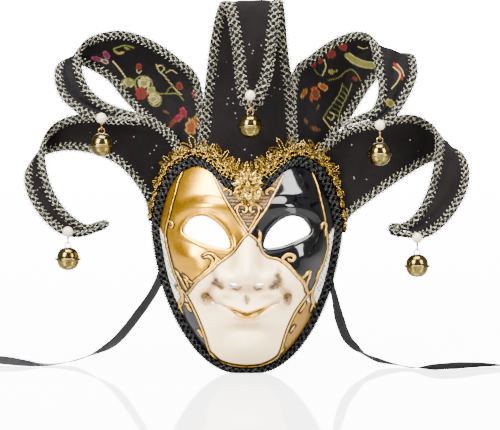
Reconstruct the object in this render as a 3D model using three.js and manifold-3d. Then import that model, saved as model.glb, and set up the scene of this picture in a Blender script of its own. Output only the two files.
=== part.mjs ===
// Full-face carnival mask: a moulded grinning face with five cloth horns, each hung with a bell.
// Axes: x to the viewer's right, y away from the viewer, z up. The origin is the seat on the wearer's face.
import * as THREE from "three";
import { mergeVertices } from "three/addons/utils/BufferGeometryUtils.js";
import Module from "manifold-3d";

const wasm = await Module();
wasm.setup();

// Driving dimensions, in millimetres and degrees.
const GAP = 0.35; // clearance between neighbouring pieces
const FACE = { wall: 2.4, middle: -34, around: 52, rows: 15, innerRows: 7 };
const DOME = {
  depth: 62,
  seat: 10,
  middle: -10,
  across: 86,
  above: 109,
  power: 2.2,
  jawShare: 0.975,
  least: 0.004,
};
const FACE_BRAID = { width: 10, thick: 3 };
const LACE = {
  thick: 1.2,
  inset: 1.2,
  behind: 0.65,
  fans: 20,
  start: 0.79,
  end: 0.226,
  narrow: 9.5,
  wide: 21,
  scallop: 2.6,
};
const HORN = {
  cloth: 1.6,
  braidWidth: 9.6,
  braidThick: 3.6,
  steps: 1.7,
  turn: 5,
  bare: 2,
  clear: 1.45,
  least: 1.2,
};
const PEARL = { radius: 4.7, hole: 0.9 };
const WIRE = { radius: 0.5, eye: 2.3, loop: 2.7, sides: 5 };
const BELL = { radius: 9.2, flange: 10.6, wall: 0.9, slit: 1.6, sides: 10, swing: 12.8 };
const RIBBON = { width: 9, thick: 0.8, steps: 3 };
const MEDALLION = { x: 1.2, z: 46, across: 14.5, up: 17.5, plate: 2.4, seat: 8 };

// Half outline of the moulded face, from the dip of the forehead over the brow peak to the chin.
const RIM = [
  { x: 0, z: 47.5 },
  { x: 20.5, z: 54 },
  { x: 34.5, z: 65.5 },
  { x: 48.2, z: 69 },
  { x: 62.5, z: 61 },
  { x: 72, z: 48 },
  { x: 79.2, z: 28.5 },
  { x: 83, z: 8 },
  { x: 81.2, z: -13 },
  { x: 75.3, z: -39.5 },
  { x: 68.4, z: -62.5 },
  { x: 55.8, z: -89 },
  { x: 38.6, z: -111.5 },
  { x: 20.5, z: -123.8 },
  { x: 0, z: -127 },
];

// Soft rises and hollows of the face: middle, half sizes along and across, tilt, curl and height forwards.
const FEATURES = [
  { name: "brow", x: 38, z: 29, along: 26, wide: 8, tilt: -6, curl: -0.008, out: 6 },
  { name: "eye socket", x: 37, z: 7, along: 24, wide: 12, tilt: 20, curl: 0, out: -6.5 },
  { name: "nose bridge", x: 0, z: -3, along: 8, wide: 17, tilt: 0, curl: 0, out: 7 },
  { name: "nose ridge", x: 0, z: -22, along: 10, wide: 14, tilt: 0, curl: 0, out: 12 },
  { name: "nose tip", x: 0, z: -33, along: 13, wide: 10, tilt: 0, curl: 0, out: 12 },
  { name: "nose wing", x: 18, z: -36, along: 9, wide: 8, tilt: 0, curl: 0, out: 8 },
  { name: "cheek", x: 45, z: -33, along: 20, wide: 16, tilt: -20, curl: 0, out: 9 },
  { name: "smile crease", x: 32, z: -47, along: 11, wide: 4, tilt: -58, curl: 0, out: -4.5 },
  { name: "dimple", x: 36.5, z: -53.5, along: 5, wide: 5, tilt: 0, curl: 0, out: -3.5 },
  { name: "grin", x: 29, z: -58, along: 9, wide: 2.6, tilt: 27, curl: 0, out: -2.4 },
  { name: "muzzle", x: 0, z: -65, along: 26, wide: 15, tilt: 0, curl: 0, out: 6 },
  { name: "upper lip", x: 0, z: -65.5, along: 17, wide: 3.4, tilt: 0, curl: 0.018, out: 2.5 },
  { name: "mouth line", x: 0, z: -69, along: 22, wide: 2, tilt: 0, curl: 0.018, out: -3 },
  { name: "lower lip", x: 0, z: -73, along: 13, wide: 3.6, tilt: 0, curl: 0.018, out: 3.4 },
  { name: "chin groove", x: 0, z: -83, along: 15, wide: 5, tilt: 0, curl: 0, out: -3 },
  { name: "chin", x: 0, z: -101, along: 20, wide: 14, tilt: 0, curl: 0, out: 10 },
];

// Right half of the eye hole, and the nostril.
const EYE_HOLE = [
  { x: 15.9, z: -7.4 },
  { x: 18.4, z: 3.2 },
  { x: 26.8, z: 13.2 },
  { x: 38.5, z: 19.4 },
  { x: 49.6, z: 16.8 },
  { x: 57.6, z: 5 },
  { x: 44.5, z: -2.4 },
  { x: 28, z: -7.6 },
];
const NOSTRIL = { x: 12, z: -41.8, across: 4, up: 2.1, sides: 8 };

// Horns, a row for each line across the band: edge a, edge b, and the offset m of the cloth's middle.
const CENTER_ROWS = [
  { ax: -45, ay: -13.7, az: 73, bx: 45, by: -13.7, bz: 73, mx: 0, my: -24.4, mz: -17 },
  { ax: -38.5, ay: -10, az: 89, bx: 41.2, by: -10, bz: 89, mx: 0, my: -15, mz: -2 },
  { ax: -35.3, ay: -9, az: 127.5, bx: 38.9, by: -9, bz: 126.5, mx: 0, my: -8, mz: 0 },
  { ax: -30.3, ay: -7, az: 169.5, bx: 33.4, by: -7, bz: 169.5, mx: 0, my: -4, mz: 0 },
  { ax: -25.4, ay: -9, az: 195.5, bx: 31, by: -9, bz: 197.5, mx: 0, my: -1, mz: 0 },
  { ax: -20, ay: -21, az: 210.6, bx: 28.3, by: -21, bz: 211.6, mx: 0, my: 0, mz: 2 },
  { ax: -13.6, ay: -33.6, az: 204.6, bx: 25.4, by: -33.6, bz: 205.1, mx: 0, my: -2, mz: 0 },
  { ax: -7.8, ay: -40, az: 171, bx: 21.2, by: -40, bz: 171, mx: 0, my: -2, mz: 0 },
  { ax: -5, ay: -42, az: 142, bx: 17.2, by: -42, bz: 146, mx: 0, my: -1, mz: 0 },
  { ax: -2.6, ay: -41, az: 126, bx: 10.5, by: -41, bz: 128, mx: 0, my: 0, mz: 0 },
];
const UPPER_LEFT_ROWS = [
  { ax: -40, ay: -6, az: 80, bx: -66, by: 1.5, bz: 69, mx: 0, my: 0, mz: 0 },
  { ax: -46, ay: 4, az: 136.8, bx: -84, by: 7.5, bz: 97.5, mx: 0, my: 2, mz: 0 },
  { ax: -66, ay: 6, az: 158.6, bx: -101, by: 8, bz: 113.5, mx: 0, my: 3, mz: 0 },
  { ax: -90, ay: 6, az: 174.2, bx: -112, by: 7, bz: 125.5, mx: 0, my: 3, mz: 0 },
  { ax: -115, ay: 4, az: 182, bx: -123, by: 4, bz: 139.5, mx: 0, my: 2, mz: 0 },
  { ax: -136, ay: -2, az: 179, bx: -137, by: 2, bz: 150, mx: 0, my: 1, mz: 0 },
  { ax: -148, ay: -7.5, az: 173, bx: -155.5, by: 0, bz: 158, mx: 0, my: 0, mz: 0 },
  { ax: -154, ay: -15.5, az: 163.5, bx: -168, by: -12, bz: 156.5, mx: 0, my: 0, mz: 0 },
  { ax: -152.5, ay: -24, az: 151.5, bx: -171, by: -25, bz: 145, mx: 0, my: 0, mz: 0 },
  { ax: -145.5, ay: -30, az: 134, bx: -165.5, by: -31, bz: 128, mx: 0, my: 0, mz: 0 },
  { ax: -132.5, ay: -33, az: 121.5, bx: -149, by: -34, bz: 114, mx: 0, my: 0, mz: 0 },
  { ax: -116, ay: -33, az: 114, bx: -128, by: -38, bz: 107, mx: 0, my: 0, mz: 0 },
  { ax: -102, ay: -31, az: 110.5, bx: -103, by: -42, bz: 105.5, mx: 0, my: 0, mz: 0 },
];
const LOWER_LEFT_ROWS = [
  { ax: -61, ay: -4, az: 66, bx: -87, by: 1.4, bz: 12, mx: -5, my: 1, mz: 2 },
  { ax: -68, ay: -3, az: 86, bx: -91, by: 2, bz: 31, mx: -2, my: 0, mz: 1 },
  { ax: -86, ay: -1, az: 100.5, bx: -103, by: 2, bz: 50.5, mx: 0, my: 0, mz: 0 },
  { ax: -109, ay: 0, az: 106.5, bx: -118, by: 1, bz: 65.5, mx: 0, my: 1, mz: 0 },
  { ax: -135, ay: 1, az: 106, bx: -138, by: 2, bz: 74.5, mx: 0, my: 2, mz: 0 },
  { ax: -158, ay: -1, az: 105, bx: -160, by: 2, bz: 78.5, mx: 0, my: 1, mz: 0 },
  { ax: -175, ay: -5, az: 98, bx: -178, by: -1, bz: 77, mx: 0, my: 0, mz: 0 },
  { ax: -184.5, ay: -12, az: 86.5, bx: -190.5, by: -7.5, bz: 72, mx: 0, my: 0, mz: 0 },
  { ax: -187, ay: -18.5, az: 75, bx: -198, by: -17.5, bz: 62, mx: 0, my: 0, mz: 0 },
  { ax: -185.5, ay: -25, az: 60.5, bx: -199.3, by: -26, bz: 51.5, mx: 0, my: 0, mz: 0 },
  { ax: -179.5, ay: -30, az: 42, bx: -195.2, by: -31, bz: 37, mx: 0, my: 0, mz: 0 },
  { ax: -169.5, ay: -33, az: 25.5, bx: -185.5, by: -34, bz: 21.5, mx: 0, my: 0, mz: 0 },
  { ax: -157.5, ay: -33, az: 13.5, bx: -169, by: -37, bz: 6.5, mx: 0, my: 0, mz: 0 },
  { ax: -146, ay: -31, az: 8, bx: -151, by: -41, bz: 3, mx: 0, my: 0, mz: 0 },
  { ax: -133.5, ay: -29.3, az: 11.6, bx: -134, by: -40.6, bz: 8.2, mx: 0, my: 0, mz: 0 },
];
const UPPER_RIGHT_ROWS = [
  { ax: 38, ay: -6.8, az: 80, bx: 66, by: 1.3, bz: 69, mx: 0, my: 0, mz: 0 },
  { ax: 44, ay: 4, az: 143, bx: 82, by: 7.5, bz: 94.5, mx: 0, my: 2, mz: 0 },
  { ax: 60, ay: 6, az: 160, bx: 93.5, by: 8, bz: 108, mx: 0, my: 3, mz: 0 },
  { ax: 78, ay: 6, az: 173, bx: 102, by: 7, bz: 121.5, mx: 0, my: 3, mz: 0 },
  { ax: 96, ay: 4, az: 180.5, bx: 111.3, by: 4, bz: 136, mx: 0, my: 2, mz: 0 },
  { ax: 108, ay: -1, az: 180.5, bx: 121.8, by: 1, bz: 148.5, mx: 0, my: 1, mz: 0 },
  { ax: 114.5, ay: -7, az: 177, bx: 136, by: -3, bz: 159.2, mx: 0, my: 0, mz: 0 },
  { ax: 117, ay: -15, az: 171, bx: 148.5, by: -13, bz: 163, mx: 0, my: 0, mz: 0 },
  { ax: 118.5, ay: -22, az: 162.5, bx: 151, by: -23, bz: 153.5, mx: 0, my: 0, mz: 0 },
  { ax: 121, ay: -28, az: 145.5, bx: 149.8, by: -29, bz: 143.5, mx: 0, my: 0, mz: 0 },
  { ax: 121.6, ay: -31, az: 129.5, bx: 143.7, by: -32, bz: 129.5, mx: 0, my: 0, mz: 0 },
  { ax: 116.3, ay: -33, az: 115, bx: 134.7, by: -34, bz: 114.5, mx: 0, my: 0, mz: 0 },
  { ax: 107.5, ay: -33, az: 109.5, bx: 122, by: -37, bz: 103, mx: 0, my: 0, mz: 0 },
  { ax: 95, ay: -31, az: 105, bx: 96.5, by: -42, bz: 100, mx: 0, my: 0, mz: 0 },
];
const LOWER_RIGHT_ROWS = [
  { ax: 61, ay: -4, az: 66, bx: 88, by: 1.4, bz: 8, mx: 6, my: 1, mz: 2 },
  { ax: 74, ay: -3, az: 81, bx: 95, by: 2, bz: 18.5, mx: 2, my: 0, mz: 1 },
  { ax: 92, ay: -1, az: 93.5, bx: 112, by: 2, bz: 31.5, mx: 0, my: 0, mz: 0 },
  { ax: 112, ay: 0, az: 99.8, bx: 128, by: 1, bz: 43.3, mx: 0, my: 1, mz: 0 },
  { ax: 134, ay: 1, az: 103.8, bx: 146, by: 2, bz: 55.2, mx: 0, my: 2, mz: 0 },
  { ax: 153, ay: -1, az: 105, bx: 163, by: 1, bz: 65.5, mx: 0, my: 1, mz: 0 },
  { ax: 167.5, ay: -5.5, az: 98, bx: 179.5, by: -4, bz: 72, mx: 0, my: 0, mz: 0 },
  { ax: 175, ay: -11, az: 90, bx: 191.5, by: -10, bz: 75.5, mx: 0, my: 0, mz: 0 },
  { ax: 176, ay: -18, az: 80.5, bx: 197.5, by: -19, bz: 67.5, mx: 0, my: 0, mz: 0 },
  { ax: 173.5, ay: -25, az: 67, bx: 199, by: -26, bz: 55, mx: 0, my: 0, mz: 0 },
  { ax: 168.5, ay: -30, az: 45.5, bx: 196, by: -31, bz: 41.5, mx: 0, my: 0, mz: 0 },
  { ax: 160.5, ay: -33, az: 26.8, bx: 187, by: -33, bz: 24.8, mx: 0, my: 0, mz: 0 },
  { ax: 150.5, ay: -34, az: 14, bx: 173.5, by: -34, bz: 9.5, mx: 0, my: 0, mz: 0 },
  { ax: 141, ay: -32, az: 8.5, bx: 157.5, by: -38, bz: 1.5, mx: 0, my: 0, mz: 0 },
  { ax: 135.5, ay: -30.4, az: 9.6, bx: 139.5, by: -40.5, bz: 3.4, mx: 0, my: 0, mz: 0 },
];

// Each horn with its cloth, and the drop on it: the pearl's middle and the length from pearl to bell.
const HORNS = [
  {
    name: "center",
    rows: CENTER_ROWS,
    cloth: "velvet",
    pearl: { x: 3, y: -47.8, z: 129 },
    drop: 27.5,
  },
  {
    name: "upper_left",
    rows: UPPER_LEFT_ROWS,
    cloth: "brocade",
    pearl: { x: -130.5, y: -45.8, z: 108.5 },
    drop: 24,
  },
  {
    name: "upper_right",
    rows: UPPER_RIGHT_ROWS,
    cloth: "brocade",
    pearl: { x: 119.3, y: -46.8, z: 102.2 },
    drop: 25.9,
  },
  {
    name: "lower_left",
    rows: LOWER_LEFT_ROWS,
    cloth: "velvet",
    pearl: { x: -161.5, y: -47.5, z: 6 },
    drop: 24.4,
  },
  {
    name: "lower_right",
    rows: LOWER_RIGHT_ROWS,
    cloth: "velvet",
    pearl: { x: 153.6, y: -48.6, z: 0.5 },
    drop: 25,
  },
];

// Ribbon routes from the back of the rim to the floor, with the roll of the ribbon about its own run.
const LEFT_ROUTE = [
  { x: -75, y: -2.3, z: -31, roll: 90 },
  { x: -80, y: -1.4, z: -42, roll: 90 },
  { x: -86, y: 3, z: -54.5, roll: 90 },
  { x: -93.5, y: 10, z: -67, roll: 90 },
  { x: -104, y: 18, z: -82, roll: 90 },
  { x: -116, y: 25, z: -98, roll: 85 },
  { x: -127, y: 29, z: -109, roll: 60 },
  { x: -143, y: 32, z: -118.2, roll: 12 },
  { x: -155, y: 33, z: -123.6, roll: -12 },
  { x: -167, y: 33, z: -127, roll: -15 },
  { x: -185, y: 28, z: -129, roll: 0 },
  { x: -198, y: 26, z: -128.6, roll: 14 },
  { x: -211, y: 28, z: -127.5, roll: 30 },
  { x: -227, y: 33, z: -126.4, roll: 45 },
  { x: -243, y: 39, z: -126, roll: 50 },
];
const RIGHT_ROUTE = [
  { x: 73.5, y: -1.9, z: -32, roll: 90 },
  { x: 77, y: -0.9, z: -46, roll: 90 },
  { x: 81, y: 5, z: -61, roll: 85 },
  { x: 83, y: 8, z: -70, roll: 75 },
  { x: 85.5, y: 11, z: -80, roll: 65 },
  { x: 92.5, y: 14, z: -99.5, roll: 60 },
  { x: 99, y: 16, z: -108, roll: 45 },
  { x: 108.5, y: 20, z: -116.5, roll: 12 },
  { x: 124, y: 22, z: -124, roll: 35 },
  { x: 139, y: 20, z: -127.2, roll: 20 },
  { x: 156.5, y: 10.5, z: -128.8, roll: 4 },
  { x: 175, y: 4, z: -126.9, roll: 48 },
  { x: 196, y: 8, z: -126.4, roll: 55 },
  { x: 221, y: 17, z: -127.3, roll: 35 },
  { x: 241, y: 19.5, z: -128.2, roll: 15 },
];

// Finishes.
const FINISH = {
  paint: { color: 0xf0e4d2, roughness: 0.45, metalness: 0 },
  blackBraid: { color: 0x232328, roughness: 0.7, metalness: 0 },
  gold: { color: 0xc89b3c, roughness: 0.35, metalness: 1 },
  velvet: { color: 0x1e1a1c, roughness: 0.95, metalness: 0 },
  brocade: { color: 0x1a1516, roughness: 0.6, metalness: 0 },
  silverBraid: { color: 0x9a9a88, roughness: 0.5, metalness: 0.4 },
  pearl: { color: 0xf2ede4, roughness: 0.25, metalness: 0 },
  steel: { color: 0xb9b4a6, roughness: 0.3, metalness: 1 },
  brass: { color: 0xbea050, roughness: 0.25, metalness: 1 },
  satin: { color: 0x37393c, roughness: 0.5, metalness: 0 },
};

const mask = new THREE.Group();
const vector = (x, y, z) => new THREE.Vector3(x, y, z);
const smooth = THREE.MathUtils.smoothstep;
const lerp = THREE.MathUtils.lerp;
const radians = THREE.MathUtils.degToRad;

function add(name, geometry, finish) {
  const mesh = new THREE.Mesh(geometry, new THREE.MeshStandardMaterial(FINISH[finish]));
  mesh.name = name;
  mask.add(mesh);
}

function toSolid(geometry) {
  const bare = geometry.clone();
  bare.deleteAttribute("normal");
  bare.deleteAttribute("uv");
  const merged = mergeVertices(bare, 1e-4);
  const vertProperties = merged.attributes.position.array;
  const triVerts = new Uint32Array(merged.index.array);
  return new wasm.Manifold(new wasm.Mesh({ numProp: 3, vertProperties, triVerts }));
}

function toGeometry(solid) {
  const { vertProperties, triVerts } = solid.getMesh();
  const geometry = new THREE.BufferGeometry();
  geometry.setAttribute("position", new THREE.BufferAttribute(vertProperties, 3));
  geometry.setIndex(new THREE.BufferAttribute(triVerts, 1));
  geometry.computeVertexNormals();
  return geometry;
}

// A closed surface from points and triangles, turned so that its faces look out.
function closedSurface(points, triangles) {
  let volume = 0;
  for (const [a, b, c] of triangles) {
    volume += points[a].dot(vector(0, 0, 0).crossVectors(points[b], points[c]));
  }
  const facing = volume < 0 ? triangles.map(([a, b, c]) => [a, c, b]) : triangles;
  const geometry = new THREE.BufferGeometry().setFromPoints(points);
  geometry.setIndex(facing.flat());
  geometry.computeVertexNormals();
  return geometry;
}

// A skin over rings of points: the rings run on round when looped, and are capped at both ends when not.
// The two halves of a ring are split along matching diagonals, so a thin twisted band keeps its thickness.
function skin(rings, looped) {
  const size = rings[0].length;
  const triangles = [];
  const joins = looped ? rings.length : rings.length - 1;
  for (let i = 0; i < joins; i++) {
    const here = i * size;
    const next = ((i + 1) % rings.length) * size;
    for (let j = 0; j < size; j++) {
      const k = (j + 1) % size;
      if (j < size / 2) triangles.push([here + j, here + k, next + k], [here + j, next + k, next + j]);
      else triangles.push([here + j, here + k, next + j], [here + k, next + k, next + j]);
    }
  }
  const last = (rings.length - 1) * size;
  for (let j = 1; !looped && j < size - 1; j++) {
    triangles.push([0, j + 1, j], [last, last + j, last + j + 1]);
  }
  return closedSurface(rings.flat(), triangles);
}

// The moulded face: a dome with soft features on it.
const rimPoints = [
  ...RIM.map(({ x, z }) => vector(x, 0, z)),
  ...RIM.slice(1, -1).reverse().map(({ x, z }) => vector(-x, 0, z)),
];
const rimCurve = new THREE.CatmullRomCurve3(rimPoints, true, "centripetal");
rimCurve.arcLengthDivisions = 600;

function featureHeight(x, z, feature) {
  const tilt = radians(feature.tilt);
  const across = x - feature.x;
  const up = z - feature.z;
  const u = across * Math.cos(tilt) + up * Math.sin(tilt);
  const v = up * Math.cos(tilt) - across * Math.sin(tilt) - feature.curl * u * u;
  return feature.out * Math.exp(-((u / feature.along) ** 2) - (v / feature.wide) ** 2);
}

// Distance from the middle of the dome to the rim, for a turn from straight down, below the temples.
const jawLine = rimCurve
  .getSpacedPoints(600)
  .filter(({ x, z }) => x >= 0 && z < 8)
  .map(({ x, z }) => ({ turn: Math.atan2(x, DOME.middle - z), reach: Math.hypot(x, z - DOME.middle) }));
function jawReach(turn) {
  const after = jawLine.findIndex((point) => point.turn <= turn);
  if (after <= 0) return jawLine.at(after).reach;
  const [upper, lower] = [jawLine[after - 1], jawLine[after]];
  return lerp(lower.reach, upper.reach, (turn - lower.turn) / (upper.turn - lower.turn));
}

// Above the temples the dome is an egg that reaches past the rim; below them it ends just outside it.
function domeShare(x, z) {
  const up = z - DOME.middle;
  const side = (Math.abs(x) / DOME.across) ** DOME.power;
  const rise = (Math.abs(up) / DOME.above) ** DOME.power;
  const egg = (side + rise) ** (2 / DOME.power);
  const jaw = ((DOME.jawShare * Math.hypot(x, up)) / jawReach(Math.atan2(Math.abs(x), -up))) ** 2;
  return Math.max(DOME.least, 1 - lerp(jaw, egg, smooth(up, -25, 10)));
}

function faceDepth(x, z) {
  let depth = DOME.seat - DOME.depth * Math.sqrt(domeShare(x, z));
  for (const feature of FEATURES) {
    depth -= featureHeight(x, z, feature);
    depth -= feature.x ? featureHeight(-x, z, feature) : 0;
  }
  return depth;
}

function facePoint(share, along) {
  const rim = rimCurve.getPointAt(((along % 1) + 1) % 1);
  const x = share * rim.x;
  const z = lerp(FACE.middle, rim.z, share);
  return vector(x, faceDepth(x, z), z);
}

function faceNormal(point) {
  const step = 0.5;
  const slopeX = (faceDepth(point.x + step, point.z) - faceDepth(point.x - step, point.z)) / (2 * step);
  const slopeZ = (faceDepth(point.x, point.z + step) - faceDepth(point.x, point.z - step)) / (2 * step);
  return vector(slopeX, -1, slopeZ).normalize();
}

function lifted(point, height) {
  return point.clone().addScaledVector(faceNormal(point), height);
}

// Share of the way out to the rim at which the surface is a given distance inside the rim.
function insetShare(along, distance) {
  const step = 0.004;
  let share = 1;
  let length = 0;
  let last = facePoint(share, along);
  while (length < distance) {
    share -= step;
    const next = facePoint(share, along);
    length += next.distanceTo(last);
    last = next;
  }
  return share;
}

function faceShell() {
  const points = [facePoint(0, 0), lifted(facePoint(0, 0), -FACE.wall)];
  const triangles = [];
  const addSheet = (rows, height, pole) => {
    const first = points.length;
    for (let i = 1; i <= rows; i++) {
      for (let j = 0; j < FACE.around; j++) {
        points.push(lifted(facePoint(i / rows, j / FACE.around), height));
      }
    }
    for (let j = 0; j < FACE.around; j++) {
      const k = (j + 1) % FACE.around;
      const corner = [pole, first + j, first + k];
      triangles.push(height ? corner : corner.reverse());
      for (let i = 0; i < rows - 1; i++) {
        const here = first + i * FACE.around;
        const next = here + FACE.around;
        const quad = [
          [here + j, next + j, next + k],
          [here + j, next + k, here + k],
        ];
        triangles.push(...quad.map((corners) => (height ? corners : corners.reverse())));
      }
    }
    return first + (rows - 1) * FACE.around;
  };
  const outer = addSheet(FACE.rows, 0, 0);
  const inner = addSheet(FACE.innerRows, -FACE.wall, 1);
  for (let j = 0; j < FACE.around; j++) {
    const k = (j + 1) % FACE.around;
    triangles.push([outer + j, outer + k, inner + k], [outer + j, inner + k, inner + j]);
  }
  let solid = toSolid(closedSurface(points, triangles));
  for (const side of [1, -1]) {
    solid = solid.subtract(toSolid(eyeCutter(side))).subtract(toSolid(nostrilCutter(side)));
  }
  return toGeometry(solid);
}

// A cutter that runs straight through the face, from a closed outline seen from the front.
function frontCutter(outline) {
  const shape = new THREE.Shape(outline.map(({ x, z }) => new THREE.Vector2(x, z)));
  const cutter = new THREE.ExtrudeGeometry(shape, { depth: 140, bevelEnabled: false });
  return cutter.rotateX(Math.PI / 2).translate(0, 30, 0);
}

function eyeCutter(side) {
  const curve = new THREE.CatmullRomCurve3(EYE_HOLE.map(({ x, z }) => vector(side * x, 0, z)), true);
  return frontCutter(curve.getPoints(2 * EYE_HOLE.length).slice(1));
}

function nostrilCutter(side) {
  const outline = [];
  for (let i = 0; i < NOSTRIL.sides; i++) {
    const turn = (2 * Math.PI * i) / NOSTRIL.sides;
    const x = side * NOSTRIL.x + NOSTRIL.across * Math.cos(turn);
    outline.push({ x, z: NOSTRIL.z + NOSTRIL.up * Math.sin(turn) });
  }
  return frontCutter(outline);
}

// The black braid lies on the face along its rim.
function faceBraid() {
  const rings = [];
  for (let j = 0; j < FACE.around; j++) {
    const along = j / FACE.around;
    const inner = facePoint(insetShare(along, FACE_BRAID.width), along);
    const middle = facePoint(insetShare(along, FACE_BRAID.width / 2), along);
    const outer = facePoint(1, along);
    rings.push([
      lifted(inner, GAP),
      lifted(middle, GAP),
      lifted(outer, GAP),
      lifted(outer, FACE_BRAID.thick),
      lifted(inner, FACE_BRAID.thick),
    ]);
  }
  return skin(rings, true);
}

// The gold lace stands out from the rim, temple to temple, as a row of pierced fans.
function lacePoint(along, distance, depth) {
  const share = ((along % 1) + 1) % 1;
  const rim = facePoint(1, share);
  const run = rimCurve.getTangentAt(share);
  const outward = vector(-run.z, 0, run.x);
  return rim.addScaledVector(outward, LACE.inset + distance).add(vector(0, LACE.behind + depth, 0));
}

function laceHeight(place) {
  return lerp(LACE.narrow, LACE.wide, smooth(Math.sin(Math.PI * place), 0.25, 0.95));
}

function goldLace() {
  const points = [];
  const triangles = [];
  const span = LACE.end + 1 - LACE.start;
  const alongAt = (place) => LACE.start + span * place;
  const addPair = (place, distance) => {
    points.push(lacePoint(alongAt(place), distance, 0), lacePoint(alongAt(place), distance, LACE.thick));
    return points.length - 2;
  };
  const wall = (a, b) => triangles.push([a, b, b + 1], [a, b + 1, a + 1]);
  let left = null;
  for (let fan = 0; fan < LACE.fans; fan++) {
    const from = fan / LACE.fans;
    const pitch = 1 / LACE.fans;
    const tall = laceHeight(from + pitch / 2);
    const valley = (place) => laceHeight(place) - LACE.scallop;
    left = left ?? [addPair(from, 0), addPair(from, valley(from))];
    const right = [addPair(from + pitch, 0), addPair(from + pitch, valley(from + pitch))];
    const crown = [addPair(from + 0.3 * pitch, tall), addPair(from + 0.7 * pitch, tall)];
    const edge = [left[0], right[0], right[1], crown[1], crown[0], left[1]];
    const hole = [
      [0.3, 0.34],
      [0.7, 0.34],
      [0.76, 0.6],
      [0.62, 0.8],
      [0.38, 0.8],
      [0.24, 0.6],
    ].map(([place, height]) => addPair(from + place * pitch, height * tall));
    for (let i = 0; i < edge.length; i++) {
      const k = (i + 1) % edge.length;
      triangles.push([edge[i], edge[k], hole[k]], [edge[i], hole[k], hole[i]]);
      triangles.push([edge[i] + 1, hole[k] + 1, edge[k] + 1], [edge[i] + 1, hole[i] + 1, hole[k] + 1]);
      wall(hole[i], hole[k]);
    }
    wall(right[0], left[0]);
    wall(crown[1], right[1]);
    wall(crown[0], crown[1]);
    wall(left[1], crown[0]);
    if (fan === 0) wall(left[0], left[1]);
    if (fan === LACE.fans - 1) wall(right[1], right[0]);
    left = right;
  }
  return closedSurface(points, triangles);
}

// The cast ornament: a leafy plate with a domed middle, beads above, drops at its sides and a heart below.
function medallion() {
  const leaves = 11;
  const shape = new THREE.Shape();
  for (let i = 0; i < 2 * leaves; i++) {
    const turn = (Math.PI * i) / leaves + Math.PI / 2;
    const reach = i % 2 ? 0.8 : 1;
    const x = MEDALLION.across * reach * Math.cos(turn);
    const z = MEDALLION.up * reach * Math.sin(turn);
    if (i) shape.lineTo(x, z);
    else shape.moveTo(x, z);
  }
  const plate = new THREE.ExtrudeGeometry(shape, { depth: MEDALLION.plate, bevelEnabled: false });
  let solid = toSolid(plate.rotateX(Math.PI / 2));
  const bosses = [
    { x: 0, z: 0, across: 9, up: 10, out: 6.5 },
    { x: 0, z: 13, across: 2.6, up: 2.6, out: 5 },
    { x: -5, z: 11, across: 2.3, up: 2.3, out: 4.5 },
    { x: 5, z: 11, across: 2.3, up: 2.3, out: 4.5 },
    { x: -9.5, z: -4, across: 2.8, up: 4.5, out: 4.5 },
    { x: 9.5, z: -4, across: 2.8, up: 4.5, out: 4.5 },
    { x: 0, z: -11, across: 4.6, up: 5, out: 6 },
  ];
  for (const { x, z, across, up, out } of bosses) {
    const boss = new THREE.SphereGeometry(1, 8, 6).scale(across, out, up);
    solid = solid.add(toSolid(boss.translate(x, -MEDALLION.plate / 2, z)));
  }
  const half = new THREE.BoxGeometry(60, 30, 60).translate(0, 15, 0);
  const back = faceDepth(0, MEDALLION.z - MEDALLION.seat) - FACE_BRAID.thick - GAP;
  const cast = toGeometry(solid.subtract(toSolid(half)));
  return cast.translate(MEDALLION.x, back, MEDALLION.z);
}

// A point of a horn's edge a or b, or its middle offset m, at a place counted in rows.
function rowPoint(rows, key, place) {
  const at = (i) => rows[THREE.MathUtils.clamp(i, 0, rows.length - 1)];
  const i = Math.min(Math.floor(place), rows.length - 2);
  const t = place - i;
  const blend = (name) => {
    const [p, q, r, s] = [at(i - 1)[name], at(i)[name], at(i + 1)[name], at(i + 2)[name]];
    return q + 0.5 * t * (r - p + t * (2 * p - 5 * q + 4 * r - s + t * (3 * (q - r) + s - p)));
  };
  return vector(blend(key + "x"), blend(key + "y"), blend(key + "z"));
}

// One edge of the band at a place: its point, the way into the band and the way out of its surface.
function edgeFrame(rows, key, place) {
  const step = 0.05;
  const [before, after] = [Math.max(0, place - step), Math.min(rows.length - 1, place + step)];
  const middle = rowPoint(rows, key, place);
  const run = rowPoint(rows, key, after).sub(rowPoint(rows, key, before)).normalize();
  const inward = rowPoint(rows, key === "a" ? "b" : "a", place).sub(middle);
  inward.addScaledVector(run, -inward.dot(run)).normalize();
  const out = inward.clone().cross(run);
  return { middle, inward, run, out: key === "a" ? out : out.negate() };
}

// Places along a horn at which its cloth and its braid have their sections.
function hornStations(rows) {
  const last = rows.length - 1;
  const count = Math.round(last * HORN.steps);
  return Array.from({ length: count + 1 }, (_, i) => (last * i) / count);
}

function hornPanel(rows) {
  const columns = 2;
  const rings = [];
  for (const station of hornStations(rows).slice(0, -HORN.bare)) {
    const a = edgeFrame(rows, "a", station);
    const b = edgeFrame(rows, "b", station);
    const sag = rowPoint(rows, "m", station);
    const width = a.middle.distanceTo(b.middle);
    const inset = Math.min(HORN.braidWidth / 2 + HORN.clear, (width - HORN.least) / 2);
    const from = a.middle.addScaledVector(a.inward, inset);
    const to = b.middle.addScaledVector(b.inward, inset);
    const line = (height) => {
      const points = [];
      for (let j = 0; j <= columns; j++) {
        const place = j / columns;
        const point = from.clone().lerp(to, place).addScaledVector(sag, 4 * place * (1 - place));
        points.push(point.addScaledVector(a.out.clone().lerp(b.out, place), height));
      }
      return points;
    };
    rings.push([...line(HORN.cloth / 2), ...line(-HORN.cloth / 2).reverse()]);
  }
  return skin(rings, false);
}

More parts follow.
